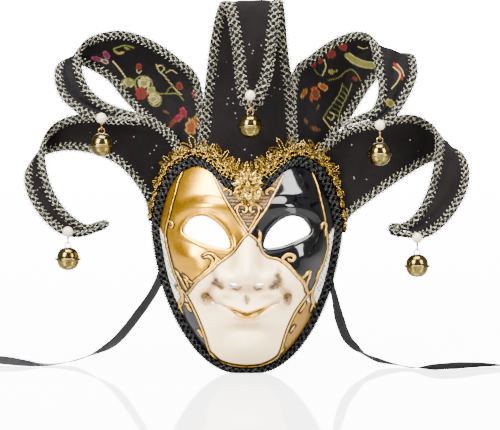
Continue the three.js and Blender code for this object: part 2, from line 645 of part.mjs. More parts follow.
// One braid runs up edge a, round the tip and back down edge b.
function hornBraid(rows) {
  const stations = hornStations(rows);
  const path = stations.map((station) => edgeFrame(rows, "a", station));
  const tipA = path.at(-1);
  const tipB = edgeFrame(rows, "b", rows.length - 1);
  const turnMiddle = tipA.middle.clone().lerp(tipB.middle, 0.5);
  const across = tipB.middle.clone().sub(tipA.middle);
  const radius = across.length() / 2;
  across.normalize();
  const run = tipA.out.clone().cross(across).normalize();
  for (let i = 1; i < HORN.turn; i++) {
    const turn = (Math.PI * i) / HORN.turn;
    const inward = across.clone().multiplyScalar(Math.cos(turn)).addScaledVector(run, -Math.sin(turn));
    const out = tipA.out.clone().lerp(tipB.out, i / HORN.turn).normalize();
    path.push({ middle: turnMiddle.clone().addScaledVector(inward, -radius), inward, out });
  }
  path.push(...stations.reverse().map((station) => edgeFrame(rows, "b", station)));
  const section = [
    [-0.5, -0.5],
    [0.5, -0.5],
    [0.5, 0.5],
    [-0.5, 0.5],
  ];
  const rings = path.map(({ middle, inward, out }) =>
    section.map(([wide, thick]) =>
      middle
        .clone()
        .addScaledVector(inward, wide * HORN.braidWidth)
        .addScaledVector(out, thick * HORN.braidThick),
    ),
  );
  return skin(rings, false);
}

// A drop: the drilled pearl, its wire eye, and the bell that swings on the eye.
function pearl({ x, y, z }) {
  const arcSteps = 5;
  const profile = [];
  const open = Math.asin(PEARL.hole / PEARL.radius);
  for (let i = 0; i <= arcSteps; i++) {
    const turn = lerp(open, Math.PI - open, i / arcSteps);
    profile.push(new THREE.Vector2(PEARL.radius * Math.sin(turn), -PEARL.radius * Math.cos(turn)));
  }
  profile.push(profile[0].clone());
  const bead = new THREE.LatheGeometry(profile, 10).rotateX(Math.PI / 2);
  return toGeometry(toSolid(bead)).translate(x, y, z);
}

function wireEye({ x, y, z }, drop) {
  const ringMiddle = BELL.swing - drop + WIRE.eye;
  const shankFoot = ringMiddle + WIRE.eye - WIRE.radius;
  const shankTop = PEARL.radius - 1;
  const ring = new THREE.TorusGeometry(WIRE.eye, WIRE.radius, WIRE.sides, 10);
  const shank = new THREE.CylinderGeometry(WIRE.radius, WIRE.radius, shankTop - shankFoot, WIRE.sides);
  ring.rotateY(Math.PI / 2).translate(0, 0, ringMiddle);
  shank.rotateX(Math.PI / 2).translate(0, 0, (shankTop + shankFoot) / 2);
  return toGeometry(toSolid(ring).add(toSolid(shank))).translate(x, y, z);
}

function bell({ x, y, z }, drop) {
  const half = BELL.radius;
  const inside = half - BELL.wall;
  const profile = [
    [0, -half],
    [0.62 * half, -0.78 * half],
    [0.98 * half, -0.14 * half],
    [BELL.flange, 0],
    [0.98 * half, 0.14 * half],
    [0.62 * half, 0.78 * half],
    [0, half],
  ].map(([across, up]) => new THREE.Vector2(across, up));
  const hollow = [
    [0, -inside],
    [0.78 * inside, -0.58 * inside],
    [0.78 * inside, 0.58 * inside],
    [0, inside],
  ].map(([across, up]) => new THREE.Vector2(across, up));
  const body = toSolid(new THREE.LatheGeometry(profile, BELL.sides).rotateX(Math.PI / 2));
  const cavity = toSolid(new THREE.LatheGeometry(hollow, BELL.sides).rotateX(Math.PI / 2));
  const slot = new THREE.BoxGeometry(2.4 * half, BELL.slit, half).translate(0, 0, -0.95 * half);
  const loop = new THREE.TorusGeometry(WIRE.loop, WIRE.radius, WIRE.sides, 10).rotateX(Math.PI / 2);
  loop.translate(0, 0, half + WIRE.loop - WIRE.radius);
  const cut = body.add(toSolid(loop)).subtract(cavity).subtract(toSolid(slot));
  return toGeometry(cut).translate(x, y, z - drop);
}

// A flat ribbon along its route, rolled about its own run.
function ribbon(route) {
  const points = route.map(({ x, y, z }) => vector(x, y, z));
  const curve = new THREE.CatmullRomCurve3(points, false, "centripetal");
  const steps = RIBBON.steps * (route.length - 1);
  const rings = [];
  for (let i = 0; i <= steps; i++) {
    const place = (i / steps) * (route.length - 1);
    const row = Math.min(Math.floor(place), route.length - 2);
    const roll = radians(lerp(route[row].roll, route[row + 1].roll, place - row));
    const run = curve.getTangent(i / steps);
    const level = run.clone().cross(vector(0, 0, 1)).normalize();
    const upright = level.clone().cross(run);
    const wide = level.clone().multiplyScalar(Math.cos(roll)).addScaledVector(upright, Math.sin(roll));
    const thick = run.clone().cross(wide);
    const middle = curve.getPoint(i / steps);
    const corner = (u, v) =>
      middle
        .clone()
        .addScaledVector(wide, (u * RIBBON.width) / 2)
        .addScaledVector(thick, (v * RIBBON.thick) / 2);
    rings.push([corner(-1, -1), corner(1, -1), corner(1, 1), corner(-1, 1)]);
  }
  return skin(rings, false);
}

add("face_shell", faceShell(), "paint");
add("face_braid", faceBraid(), "blackBraid");
add("gold_lace", goldLace(), "gold");
add("medallion", medallion(), "gold");
for (const { name, rows, cloth, pearl: seat, drop } of HORNS) {
  add("horn_" + name, hornPanel(rows), cloth);
  add("braid_" + name, hornBraid(rows), "silverBraid");
  add("pearl_" + name, pearl(seat), "pearl");
  add("eye_" + name, wireEye(seat, drop), "steel");
  add("bell_" + name, bell(seat, drop), "brass");
}
add("ribbon_left", ribbon(LEFT_ROUTE), "satin");
add("ribbon_right", ribbon(RIGHT_ROUTE), "satin");

export default mask;
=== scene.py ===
import math

import bpy
import numpy as np
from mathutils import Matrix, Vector


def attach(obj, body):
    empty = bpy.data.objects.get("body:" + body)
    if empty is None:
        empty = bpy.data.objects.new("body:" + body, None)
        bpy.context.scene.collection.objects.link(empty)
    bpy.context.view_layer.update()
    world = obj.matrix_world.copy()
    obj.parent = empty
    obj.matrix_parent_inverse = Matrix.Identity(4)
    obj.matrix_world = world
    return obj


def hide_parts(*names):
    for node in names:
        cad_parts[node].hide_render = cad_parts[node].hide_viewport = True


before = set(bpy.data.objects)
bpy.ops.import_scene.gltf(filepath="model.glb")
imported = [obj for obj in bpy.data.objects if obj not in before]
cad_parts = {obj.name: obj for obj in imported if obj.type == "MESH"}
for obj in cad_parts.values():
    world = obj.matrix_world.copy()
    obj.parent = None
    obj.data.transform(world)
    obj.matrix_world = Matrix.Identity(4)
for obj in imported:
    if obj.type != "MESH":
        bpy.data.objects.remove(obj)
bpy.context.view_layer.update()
mm = 0.001  # shapes are written in millimetres
tiny = 1e-9
fullTurn = 2 * math.pi
rng = np.random.default_rng(11)

# The camera stands where the photograph's stood: in front and a little above.
view = {"aim": (2.8, 0.0, 15.8), "distance": 2000.0, "elevation": 6.5, "focal": 156.0, "sensor": 36.0,
        "width": 500, "height": 430, "farClip": 50000.0}


def setCamera():
    tilt = math.radians(view["elevation"])
    back = Vector((0, -math.cos(tilt), math.sin(tilt)))
    camera = bpy.data.objects.new("camera", bpy.data.cameras.new("camera"))
    camera.data.lens = view["focal"]
    camera.data.sensor_width = view["sensor"]
    camera.data.clip_end = view["farClip"] * mm
    camera.location = (Vector(view["aim"]) + back * view["distance"]) * mm
    camera.rotation_euler = (math.pi / 2 - tilt, 0, 0)
    bpy.context.scene.collection.objects.link(camera)
    bpy.context.scene.camera = camera


# Where points in millimetres fall in the picture, in its pixels.
def pictureSpot(points):
    tilt = math.radians(view["elevation"])
    forward = np.array((0, math.cos(tilt), -math.sin(tilt)))
    up = np.array((0, math.sin(tilt), math.cos(tilt)))
    offset = np.asarray(points, float) - (np.array(view["aim"]) - forward * view["distance"])
    scale = view["focal"] / view["sensor"] * view["width"] / (offset @ forward)
    x = view["width"] / 2 + offset[..., 0] * scale
    y = view["height"] / 2 - (offset @ up) * scale
    return np.stack((x, y), -1)


setCamera()
print("camera set")


# small vector and curve helpers on arrays of points
def unit(vectors):
    return vectors / np.maximum(np.linalg.norm(vectors, axis=-1, keepdims=True), tiny)


def smoothStep(value, low, high):
    t = np.clip((value - low) / (high - low), 0, 1)
    return t * t * (3 - 2 * t)


def mix(a, b, t):
    return a + (b - a) * t


def lengthAlong(points):
    return np.concatenate(([0], np.cumsum(np.linalg.norm(np.diff(points, axis=0), axis=1))))


# A smooth curve through points, rounder where they lie further apart.
def smoothCurve(points, closed=False, each=24):
    points = np.asarray(points, float)
    if closed:
        padded = np.concatenate((points[-1:], points, points[:2]))
    else:
        padded = np.concatenate((2 * points[:1] - points[1:2], points, 2 * points[-1:] - points[-2:-1]))
    t = np.arange(each)[:, None] / each
    leastGap = 1e-4
    found = []
    for i in range(len(padded) - 3):
        p, q, r, s = padded[i:i + 4]
        gaps = ((p, q), (q, r), (r, s))
        before, here, after = (max(np.linalg.norm(b - a) ** 0.5, leastGap) for a, b in gaps)
        leave = ((q - p) / before - (r - p) / (before + here) + (r - q) / here) * here
        reach = ((r - q) / here - (s - q) / (here + after) + (s - r) / after) * here
        square = -3 * q + 3 * r - 2 * leave - reach
        cube = 2 * q - 2 * r + leave + reach
        found.append(q + leave * t + square * t**2 + cube * t**3)
    found.append(points[:1] if closed else points[-1:])
    return np.concatenate(found)


# The same line with evenly spaced points; what is carried along in further columns goes with it.
def resample(points, count=None, step=None):
    along = lengthAlong(points)
    count = count or max(2, int(round(along[-1] / step)) + 1)
    spots = np.linspace(0, along[-1], count)
    return np.stack([np.interp(spots, along, points[:, k]) for k in range(points.shape[1])], -1)


# Mesh building: a batch gathers grids of points, and becomes one object.
def newBatch():
    return {"points": [], "quads": [], "uvs": [], "slots": [], "count": 0}


# rows x columns x 3 points; uv is rows x columns, one column more where the grid closes across
def addGrid(batch, points, closed=False, uv=None, slot=0, flip=False):
    points = np.asarray(points, float)
    rows, columns = points.shape[:2]
    i, j = np.meshgrid(np.arange(rows - 1), np.arange(columns if closed else columns - 1), indexing="ij")
    here, above, right = i * columns, (i + 1) * columns, (j + 1) % columns
    corners = np.stack((here + j, here + right, above + right, above + j), -1)
    if uv is None:
        uv = np.zeros((rows, columns + 1, 2))
    spots = np.stack((uv[i, j], uv[i, j + 1], uv[i + 1, j + 1], uv[i + 1, j]), -2)
    corners, spots = corners.reshape(-1, 4), spots.reshape(-1, 4, 2)
    if flip:
        corners, spots = corners[:, ::-1], spots[:, ::-1]
    batch["points"].append(points.reshape(-1, 3))
    batch["quads"].append(corners + batch["count"])
    batch["uvs"].append(spots)
    batch["slots"].append(np.full(len(corners), slot))
    batch["count"] += rows * columns
    return batch["count"] - rows * columns


# Only some quads stay of the grid that was added last.
def keepQuads(batch, kept):
    for key in ("quads", "uvs", "slots"):
        batch[key][-1] = batch[key][-1][kept]


def uvGrid(along, across):
    return np.stack(np.broadcast_arrays(along[:, None], across[None, :]), -1)


# A strip of cloth with a front and a back, closed at both ends so that it is one closed surface.
def addCloth(batch, sheet, half, along, across, flip=False):
    grid = np.concatenate((sheet + half, (sheet - half)[:, ::-1]), 1)
    uv = uvGrid(along, np.concatenate((across, across[::-1], across[:1])))
    first = addGrid(batch, grid, closed=True, uv=uv, flip=flip)
    rows, columns = grid.shape[:2]
    j, last = np.arange(columns // 2 - 1), columns - 1
    start = np.stack((j + 1, j, last - j, last - j - 1), -1) + first
    caps = np.concatenate((start, start[:, ::-1] + (rows - 1) * columns))
    batch["quads"].append(caps[:, ::-1] if flip else caps)
    batch["uvs"].append(np.zeros((len(caps), 4, 2)))
    batch["slots"].append(np.zeros(len(caps), int))
    return grid


# A cord along points, round or flattened, its flat side towards up.
def addCord(batch, points, up, radius, sides=5, flat=1.0, slot=0, taper=None, start=0.0):
    points = np.asarray(points, float)
    run = unit(np.gradient(points, axis=0))
    side = unit(np.cross(run, np.broadcast_to(np.asarray(up, float), points.shape)))
    lift = np.cross(side, run)
    size = np.full(len(points), radius) if taper is None else radius * np.asarray(taper)
    turn = fullTurn * np.arange(sides)[:, None] / sides
    ring = side[:, None] * np.cos(turn) + lift[:, None] * (flat * np.sin(turn))
    grid = points[:, None] + ring * size[:, None, None]
    uv = uvGrid(start + lengthAlong(points), np.arange(sides + 1) / sides)
    addGrid(batch, grid, closed=True, uv=uv, slot=slot)


# A ball, or a stretched one, of rings that stop just short of its poles.
def addBall(batch, middle, radius, sides=10, rings=7, scale=(1, 1, 1), slot=0):
    top = 0.5 * math.pi - 0.04
    turn, rise = fullTurn * np.arange(sides) / sides, np.linspace(-top, top, rings)
    flat, high = np.cos(rise)[:, None], np.broadcast_to(np.sin(rise)[:, None], (rings, sides))
    grid = np.stack((flat * np.cos(turn), flat * np.sin(turn), high), -1) * radius * np.asarray(scale)
    uv = uvGrid(rise, np.arange(sides + 1) / sides)
    addGrid(batch, np.asarray(middle) + grid, closed=True, uv=uv, slot=slot)


def fill(data, key, values, kind=np.float32):
    data.foreach_set(key, np.asarray(values, kind).ravel())


def makeObject(name, batch, materials, body="mask", replaces=(), colors=None, values=None):
    quads = np.concatenate(batch["quads"])
    mesh = bpy.data.meshes.new(name)
    mesh.vertices.add(batch["count"])
    fill(mesh.vertices, "co", np.concatenate(batch["points"]) * mm)
    mesh.loops.add(quads.size)
    fill(mesh.loops, "vertex_index", quads, np.int32)
    mesh.polygons.add(len(quads))
    fill(mesh.polygons, "loop_start", np.arange(0, quads.size, 4), np.int32)
    fill(mesh.polygons, "material_index", np.concatenate(batch["slots"]), np.int32)
    fill(mesh.uv_layers.new(name="cloth").data, "uv", np.concatenate(batch["uvs"]))
    for key, color in (colors or {}).items():
        full = np.concatenate((color, np.ones((len(color), 1))), 1)
        fill(mesh.color_attributes.new(key, "FLOAT_COLOR", "POINT").data, "color", full)
    for key, value in (values or {}).items():
        fill(mesh.attributes.new(key, "FLOAT", "POINT").data, "value", value)
    fill(mesh.polygons, "use_smooth", np.ones(len(quads)), bool)
    for material in materials:
        mesh.materials.append(material)
    mesh.update(calc_edges=True)
    mesh.validate()
    made = bpy.data.objects.new(name, mesh)
    bpy.context.scene.collection.objects.link(made)
    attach(made, body)
    if replaces:
        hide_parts(*replaces)
    return made


# Finishes. Shared effects are node groups; each material places them with its own values.
def tone(red, green, blue):  # a colour as a screen shows it, each part from 0 to 255
    def linear(part):
        return part / 255 / 12.92 if part <= 10 else ((part / 255 + 0.055) / 1.055) ** 2.4
    return linear(red), linear(green), linear(blue), 1.0


def node(tree, kind, inputs=None, **settings):
    made = tree.nodes.new("ShaderNode" + kind)
    for key, value in settings.items():
        setattr(made, key, value)
    for key, value in (inputs or {}).items():
        if isinstance(value, bpy.types.NodeSocket):
            tree.links.new(value, made.inputs[key])
        else:
            made.inputs[key].default_value = value
    return made


def calc(tree, operation, a, b=0.0):
    return node(tree, "Math", {0: a, 1: b}, operation=operation).outputs[0]


def times(tree, a, b):
    return calc(tree, "MULTIPLY", a, b)


def sine(tree, turns):
    return calc(tree, "SINE", times(tree, turns, fullTurn))


def blendColor(tree, share, a, b, kind="MIX"):
    return node(tree, "Mix", {0: share, 6: a, 7: b}, data_type="RGBA", blend_type=kind).outputs[2]


def shaded(tree, color, share):
    grey = node(tree, "CombineColor", {0: share, 1: share, 2: share}).outputs[0]
    return blendColor(tree, 1.0, color, grey, "MULTIPLY")


def spread(tree, value, low, high, toLow=0.0, toHigh=1.0):
    inputs = {"Value": value, "From Min": low, "From Max": high, "To Min": toLow, "To Max": toHigh}
    return node(tree, "MapRange", inputs, interpolation_type="SMOOTHSTEP").outputs[0]


def noise(tree, scale, **inputs):
    spot = node(tree, "TexCoord").outputs["Object"]
    return node(tree, "TexNoise", {"Vector": spot, "Scale": scale, **inputs}).outputs[0]


# how far along a cord or cloth, in millimetres, and how far across or round it
def clothPlace(tree):
    return node(tree, "SeparateXYZ", {0: node(tree, "UVMap", uv_map="cloth").outputs[0]}).outputs


def painted(tree, name, output):
    return node(tree, "Attribute", attribute_name=name).outputs[output]


def newGroup(name, inputs, outputs):
    tree = bpy.data.node_groups.new(name, "ShaderNodeTree")
    for title, default in inputs.items():
        socket = tree.interface.new_socket(title, in_out="INPUT", socket_type="NodeSocketFloat")
        socket.default_value = default
    for title in outputs:
        tree.interface.new_socket(title, in_out="OUTPUT", socket_type="NodeSocketFloat")
    return tree, tree.nodes.new("NodeGroupInput").outputs, tree.nodes.new("NodeGroupOutput").inputs


def useGroup(tree, group, **values):
    made = tree.nodes.new("ShaderNodeGroup")
    made.node_tree = group
    for key, value in values.items():
        made.inputs[key.title()].default_value = value
    return made.outputs


# grain of the shared effects, to the metre, and where each starts to show
effects = {"threadSpeck": 900.0, "speckFade": (-0.08, 0.12), "dustPatch": 42.0, "dustFrom": 0.55,
           "cloud": 18.0, "fineBrush": 420.0, "dents": 95.0}


# A twisted thread along a cord: a painted highlight on the crown of each turn, painted shade between turns.
def makeTwist():
    inputs = {"Pitch": 2.0, "Turns": 1.0, "Fleck": 0.4}
    tree, given, result = newGroup("threadTwist", inputs, ["Crown", "Fleck"])
    along, around, _ = clothPlace(tree)
    run = calc(tree, "DIVIDE", along, given["Pitch"])
    turns = calc(tree, "ADD", run, times(tree, around, given["Turns"]))
    tree.links.new(spread(tree, sine(tree, turns), -1.0, 1.0), result["Crown"])
    speck = calc(tree, "SUBTRACT", noise(tree, effects["threadSpeck"], Detail=1.0), given["Fleck"])
    tree.links.new(spread(tree, speck, *effects["speckFade"]), result["Fleck"])
    return tree


# Lint and dust lying on dark cloth.
def makeDust():
    tree, given, result = newGroup("dustSpecks", {"Scale": 110.0, "Amount": 0.06}, ["Specks", "Clouds"])
    spot = node(tree, "TexCoord").outputs["Object"]
    cells = node(tree, "TexVoronoi", {"Vector": spot, "Scale": given["Scale"]}, feature="F1")
    near = calc(tree, "LESS_THAN", cells.outputs["Distance"], given["Amount"])
    patch = calc(tree, "GREATER_THAN", noise(tree, effects["dustPatch"], Detail=2.0), effects["dustFrom"])
    tree.links.new(times(tree, near, patch), result["Specks"])
    tree.links.new(noise(tree, effects["cloud"], Detail=4.0, Roughness=0.6), result["Clouds"])
    return tree


# Brush marks and small dents of hand-painted work.
def makeBrush():
    tree, given, result = newGroup("brushMarks", {"Scale": 60.0}, ["Broad", "Fine", "Dents"])
    tree.links.new(noise(tree, given["Scale"], Detail=5.0, Roughness=0.6), result["Broad"])
    tree.links.new(noise(tree, effects["fineBrush"], Detail=3.0), result["Fine"])
    tree.links.new(noise(tree, effects["dents"], Detail=2.0), result["Dents"])
    return tree


# Cloth threads, from the cloth's own length and width in millimetres.
def makeWeave():
    tree, given, result = newGroup("clothThreads", {"Warp": 0.7, "Weft": 0.7}, ["Threads", "Rows"])
    along, across, _ = clothPlace(tree)
    warp = sine(tree, calc(tree, "DIVIDE", across, given["Warp"]))
    weft = sine(tree, calc(tree, "DIVIDE", along, given["Weft"]))
    tree.links.new(spread(tree, times(tree, warp, weft), -1.0, 1.0), result["Threads"])
    tree.links.new(spread(tree, weft, -1.0, 1.0), result["Rows"])
    return tree


twistGroup, dustGroup, brushGroup, weaveGroup = makeTwist(), makeDust(), makeBrush(), makeWeave()


def newFinish(name, **values):
    material = bpy.data.materials.new(name)
    material.use_nodes = True
    tree = material.node_tree
    shader = tree.nodes["Principled BSDF"]
    for key, value in values.items():
        shader.inputs[key.replace("_", " ")].default_value = value
    return material, tree, shader


def feed(tree, shader, **sockets):
    for key, socket in sockets.items():
        tree.links.new(socket, shader.inputs[key.replace("_", " ")])


# strength, and depth in millimetres
def bump(tree, shader, height, strength, depth):
    made = node(tree, "Bump", {"Height": height, "Strength": strength, "Distance": depth * mm})
    tree.links.new(made.outputs[0], shader.inputs["Normal"])


# The painted face: colour, gloss and metal come from the painted regions, broken up by brush marks.
paintFinish = {"shine": 0.3, "coat": 0.1, "coatRough": 0.14, "marks": 55.0, "shade": (0.93, 1.06),
               "gloss": (0.94, 1.08), "dents": 0.1, "depth": 0.9}


def facePaint():
    look = paintFinish
    material, tree, shader = newFinish("facePaint", Specular_IOR_Level=look["shine"],
                                       Coat_Weight=look["coat"], Coat_Roughness=look["coatRough"])
    marks = useGroup(tree, brushGroup, scale=look["marks"])
    shade = spread(tree, marks["Broad"], 0.25, 0.75, *look["shade"])
    gloss = spread(tree, marks["Broad"], 0.3, 0.7, *look["gloss"])
    feed(tree, shader, Base_Color=shaded(tree, painted(tree, "paintColor", "Color"), shade),
         Roughness=times(tree, painted(tree, "paintRough", "Fac"), gloss),
         Metallic=painted(tree, "paintMetal", "Fac"))
    bump(tree, shader, marks["Dents"], look["dents"], look["depth"])
    return material


# Raised gold paste lines: a painted highlight along the crown; down the sides dark brown, partly the
# antiquing that stayed there and partly painted shade.
scrollFinish = {"dark": tone(34, 19, 2), "light": tone(214, 160, 36), "metal": 0.9, "coat": 0.3,
                "coatRough": 0.16, "marks": 130.0, "crown": (0.1, 0.75), "least": 0.6, "gloss": (0.26, 0.4),
                "dents": 0.2, "depth": 0.5}


def scrollGold():
    look = scrollFinish
    material, tree, shader = newFinish("scrollGold", Metallic=look["metal"], Coat_Weight=look["coat"],
                                       Coat_Roughness=look["coatRough"])
    marks = useGroup(tree, brushGroup, scale=look["marks"])
    # painted highlight along the crown, painted shade down the sides
    crown = spread(tree, sine(tree, clothPlace(tree)[1]), *look["crown"])
    crownLight = times(tree, crown, spread(tree, marks["Broad"], 0.25, 0.5, look["least"], 1.0))
    feed(tree, shader, Base_Color=blendColor(tree, crownLight, look["dark"], look["light"]),
         Roughness=spread(tree, marks["Fine"], 0.3, 0.7, *look["gloss"]))
    bump(tree, shader, marks["Fine"], look["dents"], look["depth"])
    return material


# Twisted cords: a higher fleck hides more of the light tone, and dim keeps the painted shade between turns
# lighter.
def cordFinish(name, light, dark, pitch, turns=1.0, fleck=0.5, metal=0.0, rough=0.5, shine=0.0, dim=0.35):
    material, tree, shader = newFinish(name, Metallic=metal, Roughness=rough, Specular_IOR_Level=shine)
    twist = useGroup(tree, twistGroup, pitch=pitch, turns=turns, fleck=fleck)
    lit = blendColor(tree, twist["Fleck"], dark, light)
    # painted highlight on the crown of each turn, painted shade between turns
    low = calc(tree, "ADD", times(tree, twist["Crown"], 1.0 - dim), dim)
    feed(tree, shader, Base_Color=blendColor(tree, low, dark, lit))
    bump(tree, shader, twist["Crown"], 0.6, 0.5)
    return material


velvetLook = {"pile": (tone(8, 6, 6), tone(14, 12, 12)), "dust": tone(118, 114, 110), "dustShare": 0.9,
              "dustScale": 180.0, "dustSize": 0.1, "grain": 1300.0, "grainStrength": 0.5, "grainDepth": 0.5}


def velvetFinish():
    look = velvetLook
    material, tree, shader = newFinish(
        "velvetPile", Roughness=0.95, Sheen_Weight=0.015, Sheen_Roughness=0.5, Specular_IOR_Level=0.05)
    dust = useGroup(tree, dustGroup, scale=look["dustScale"], amount=look["dustSize"])
    pile = blendColor(tree, spread(tree, dust["Clouds"], 0.3, 0.7), *look["pile"])
    specks = times(tree, dust["Specks"], look["dustShare"])
    feed(tree, shader, Base_Color=blendColor(tree, specks, pile, look["dust"]))
    bump(tree, shader, noise(tree, look["grain"], Detail=1.0), look["grainStrength"], look["grainDepth"])
    return material


# Satin ground with woven-in vines: the motif colour and how much of it shows come from the cloth itself.
brocadeLook = {"ground": (tone(3, 2, 2), tone(6, 5, 5)), "warp": 0.9, "weft": 0.55, "rows": (0.45, 1.1),
               "gloss": (0.34, 0.48), "threadRough": 0.14, "raised": 0.8, "weave": 0.35, "strength": 0.5,
               "depth": 0.4}
satinLook = {"tones": (tone(14, 14, 15), tone(22, 22, 23)), "warp": 0.5, "weft": 0.8, "gloss": (0.4, 0.55),
             "strength": 0.25, "depth": 0.2}
clothDust = {"scale": 90.0, "amount": 0.03}


def brocadeFinish():
    look = brocadeLook
    material, tree, shader = newFinish("brocadeSatin", Specular_IOR_Level=0.04)
    share = painted(tree, "motifShare", "Fac")
    threads = useGroup(tree, weaveGroup, warp=look["warp"], weft=look["weft"])
    clouds = useGroup(tree, dustGroup, **clothDust)["Clouds"]
    rows = spread(tree, threads["Rows"], 0.0, 1.0, *look["rows"])
    thread = shaded(tree, painted(tree, "motifColor", "Color"), rows)
    ground = blendColor(tree, clouds, *look["ground"])
    gloss = spread(tree, clouds, 0.3, 0.7, *look["gloss"])
    feed(tree, shader, Base_Color=blendColor(tree, share, ground, thread),
         Roughness=calc(tree, "ADD", times(tree, share, look["threadRough"]), gloss))
    weave = times(tree, threads["Threads"], look["weave"])
    height = calc(tree, "ADD", times(tree, share, look["raised"]), weave)
    bump(tree, shader, height, look["strength"], look["depth"])
    return material


def satinFinish():
    look = satinLook
    material, tree, shader = newFinish("ribbonSatin", Specular_IOR_Level=0.12)
    threads = useGroup(tree, weaveGroup, warp=look["warp"], weft=look["weft"])["Threads"]
    clouds = useGroup(tree, dustGroup, **clothDust)["Clouds"]
    feed(tree, shader, Base_Color=blendColor(tree, clouds, *look["tones"]),
         Roughness=spread(tree, threads, 0.0, 1.0, *look["gloss"]))
    bump(tree, shader, threads, look["strength"], look["depth"])
    return material


# Metal with smears and a little tarnish.
def metalFinish(name, light, dark, gloss, marks=150.0, dents=0.12):
    material, tree, shader = newFinish(name, Metallic=1.0)
    marks = useGroup(tree, brushGroup, scale=marks)
    feed(tree, shader, Base_Color=blendColor(tree, spread(tree, marks["Broad"], 0.35, 0.65), dark, light),
         Roughness=spread(tree, marks["Fine"], 0.3, 0.7, *gloss))
    bump(tree, shader, marks["Dents"], dents, 0.6)
    return material


pearlLook = {"tones": (tone(172, 156, 130), tone(196, 182, 158)), "marks": 210.0, "dents": 0.08, "depth": 0.3}
liningLook = {"tones": (tone(196, 188, 174), tone(228, 222, 210)), "marks": 38.0, "dents": 0.6, "depth": 1.2,
              "fibre": 0.4}


def pearlFinish():
    look = pearlLook
    material, tree, shader = newFinish("pearlLustre", Roughness=0.22, Coat_Weight=0.6, Coat_Roughness=0.08)
    marks = useGroup(tree, brushGroup, scale=look["marks"])
    feed(tree, shader, Base_Color=blendColor(tree, marks["Broad"], *look["tones"]))
    bump(tree, shader, marks["Fine"], look["dents"], look["depth"])
    return material


def liningFinish():
    look = liningLook
    material, tree, shader = newFinish("paperLining", Roughness=0.85)
    marks = useGroup(tree, brushGroup, scale=look["marks"])
    feed(tree, shader, Base_Color=blendColor(tree, spread(tree, marks["Broad"], 0.3, 0.7), *look["tones"]))
    pulp = calc(tree, "ADD", marks["Dents"], times(tree, marks["Fine"], look["fibre"]))
    bump(tree, shader, pulp, look["dents"], look["depth"])
    return material


finishes = {
    "paint": facePaint(),
    "scroll": scrollGold(),
    "blackBraid": cordFinish("blackGimp", tone(9, 9, 9), tone(2, 2, 2), 1.3),
    "blackGlint": cordFinish("blackGlint", tone(64, 64, 62), tone(8, 8, 8), 2.8, shine=0.1, dim=0.3),
    "silverBraid": cordFinish("silverGimp", tone(196, 192, 166), tone(8, 8, 6), 2.6, metal=0.3, rough=0.34,
                              shine=0.3, dim=0.4),
    "braidCore": cordFinish("silverCore", tone(12, 12, 10), tone(4, 4, 3), 1.6, turns=2.0, rough=0.7),
    "greyBraid": cordFinish("greyGimp", tone(22, 21, 17), tone(4, 4, 3), 2.6, metal=0.1, rough=0.4,
                            shine=0.1),
    "blackCore": cordFinish("blackCore", tone(6, 6, 6), tone(2, 2, 2), 1.6, turns=2.0, rough=0.7),
    "laceDark": cordFinish("goldThreadDark", tone(138, 104, 26), tone(30, 20, 2), 2.2, fleck=0.46, metal=0.9,
                           rough=0.3, shine=0.3),
    "lace": cordFinish("goldThread", tone(210, 174, 72), tone(56, 38, 5), 2.2, fleck=0.42, metal=0.9,
                       rough=0.26, shine=0.3),
    # the lace's dark backing: painted shade seen through the gaps of the lace
    "laceShadeBacking": cordFinish("laceShadeBacking", tone(24, 15, 3), tone(6, 4, 1), 1.1, rough=0.7),
    "gilt": metalFinish("giltCast", tone(230, 196, 88), tone(70, 48, 6), (0.16, 0.3), marks=190.0, dents=0.3),
    "velvet": velvetFinish(),
    "brocade": brocadeFinish(),
    "satin": satinFinish(),
    "brass": metalFinish("bellBrass", tone(118, 104, 54), tone(74, 62, 28), (0.1, 0.18)),
    "bellInside": metalFinish("bellInside", tone(70, 52, 22), tone(34, 24, 10), (0.4, 0.6)),
    "wire": metalFinish("brightWire", tone(178, 142, 78), tone(120, 90, 42), (0.2, 0.34)),
    "pearl": pearlFinish(),
    "lining": liningFinish(),
}
print("finishes made:", len(finishes))

# A pale glossy table before a bright backdrop, in a dim room with soft boxes.
stage = {"floor": -130.6, "floorSize": 9000.0, "tableTones": (tone(166, 166, 166), tone(172, 172, 172)),
         "clouds": 3.0, "tableGlow": 3.4, "room": 0.5, "seen": 14.0, "backdrop": 20.0, "side": (0.18, 0.3),
         "top": (0.25, 0.5), "boxAim": (0, -20, 40)}
softBoxes = [
    {"name": "leftBox", "from": (-1150, -1300, 1050), "size": (800, 1200), "power": 204.0},
    {"name": "rightBox", "from": (1350, -1150, 900), "size": (600, 1100), "power": 104.0},
    {"name": "topBox", "from": (0, -250, 1900), "size": (1500, 1000), "power": 170.0},
]
white = (1.0, 1.0, 1.0, 1.0)


def makeTable():
    material, tree, shader = newFinish("paleTable", Roughness=0.06, IOR=2.2, Emission_Color=white)
    seen = node(tree, "LightPath").outputs["Is Camera Ray"]
    feed(tree, shader, Base_Color=blendColor(tree, noise(tree, stage["clouds"]), *stage["tableTones"]),
         Emission_Strength=times(tree, seen, stage["tableGlow"]))
    half, floor = stage["floorSize"] / 2 * mm, stage["floor"] * mm
    mesh = bpy.data.meshes.new("table")
    corners = [(-half, -half, floor), (half, -half, floor), (half, half, floor), (-half, half, floor)]
    mesh.from_pydata(corners, [], [(0, 1, 2, 3)])
    mesh.materials.append(material)
    table = bpy.data.objects.new("table", mesh)
    bpy.context.scene.collection.objects.link(table)


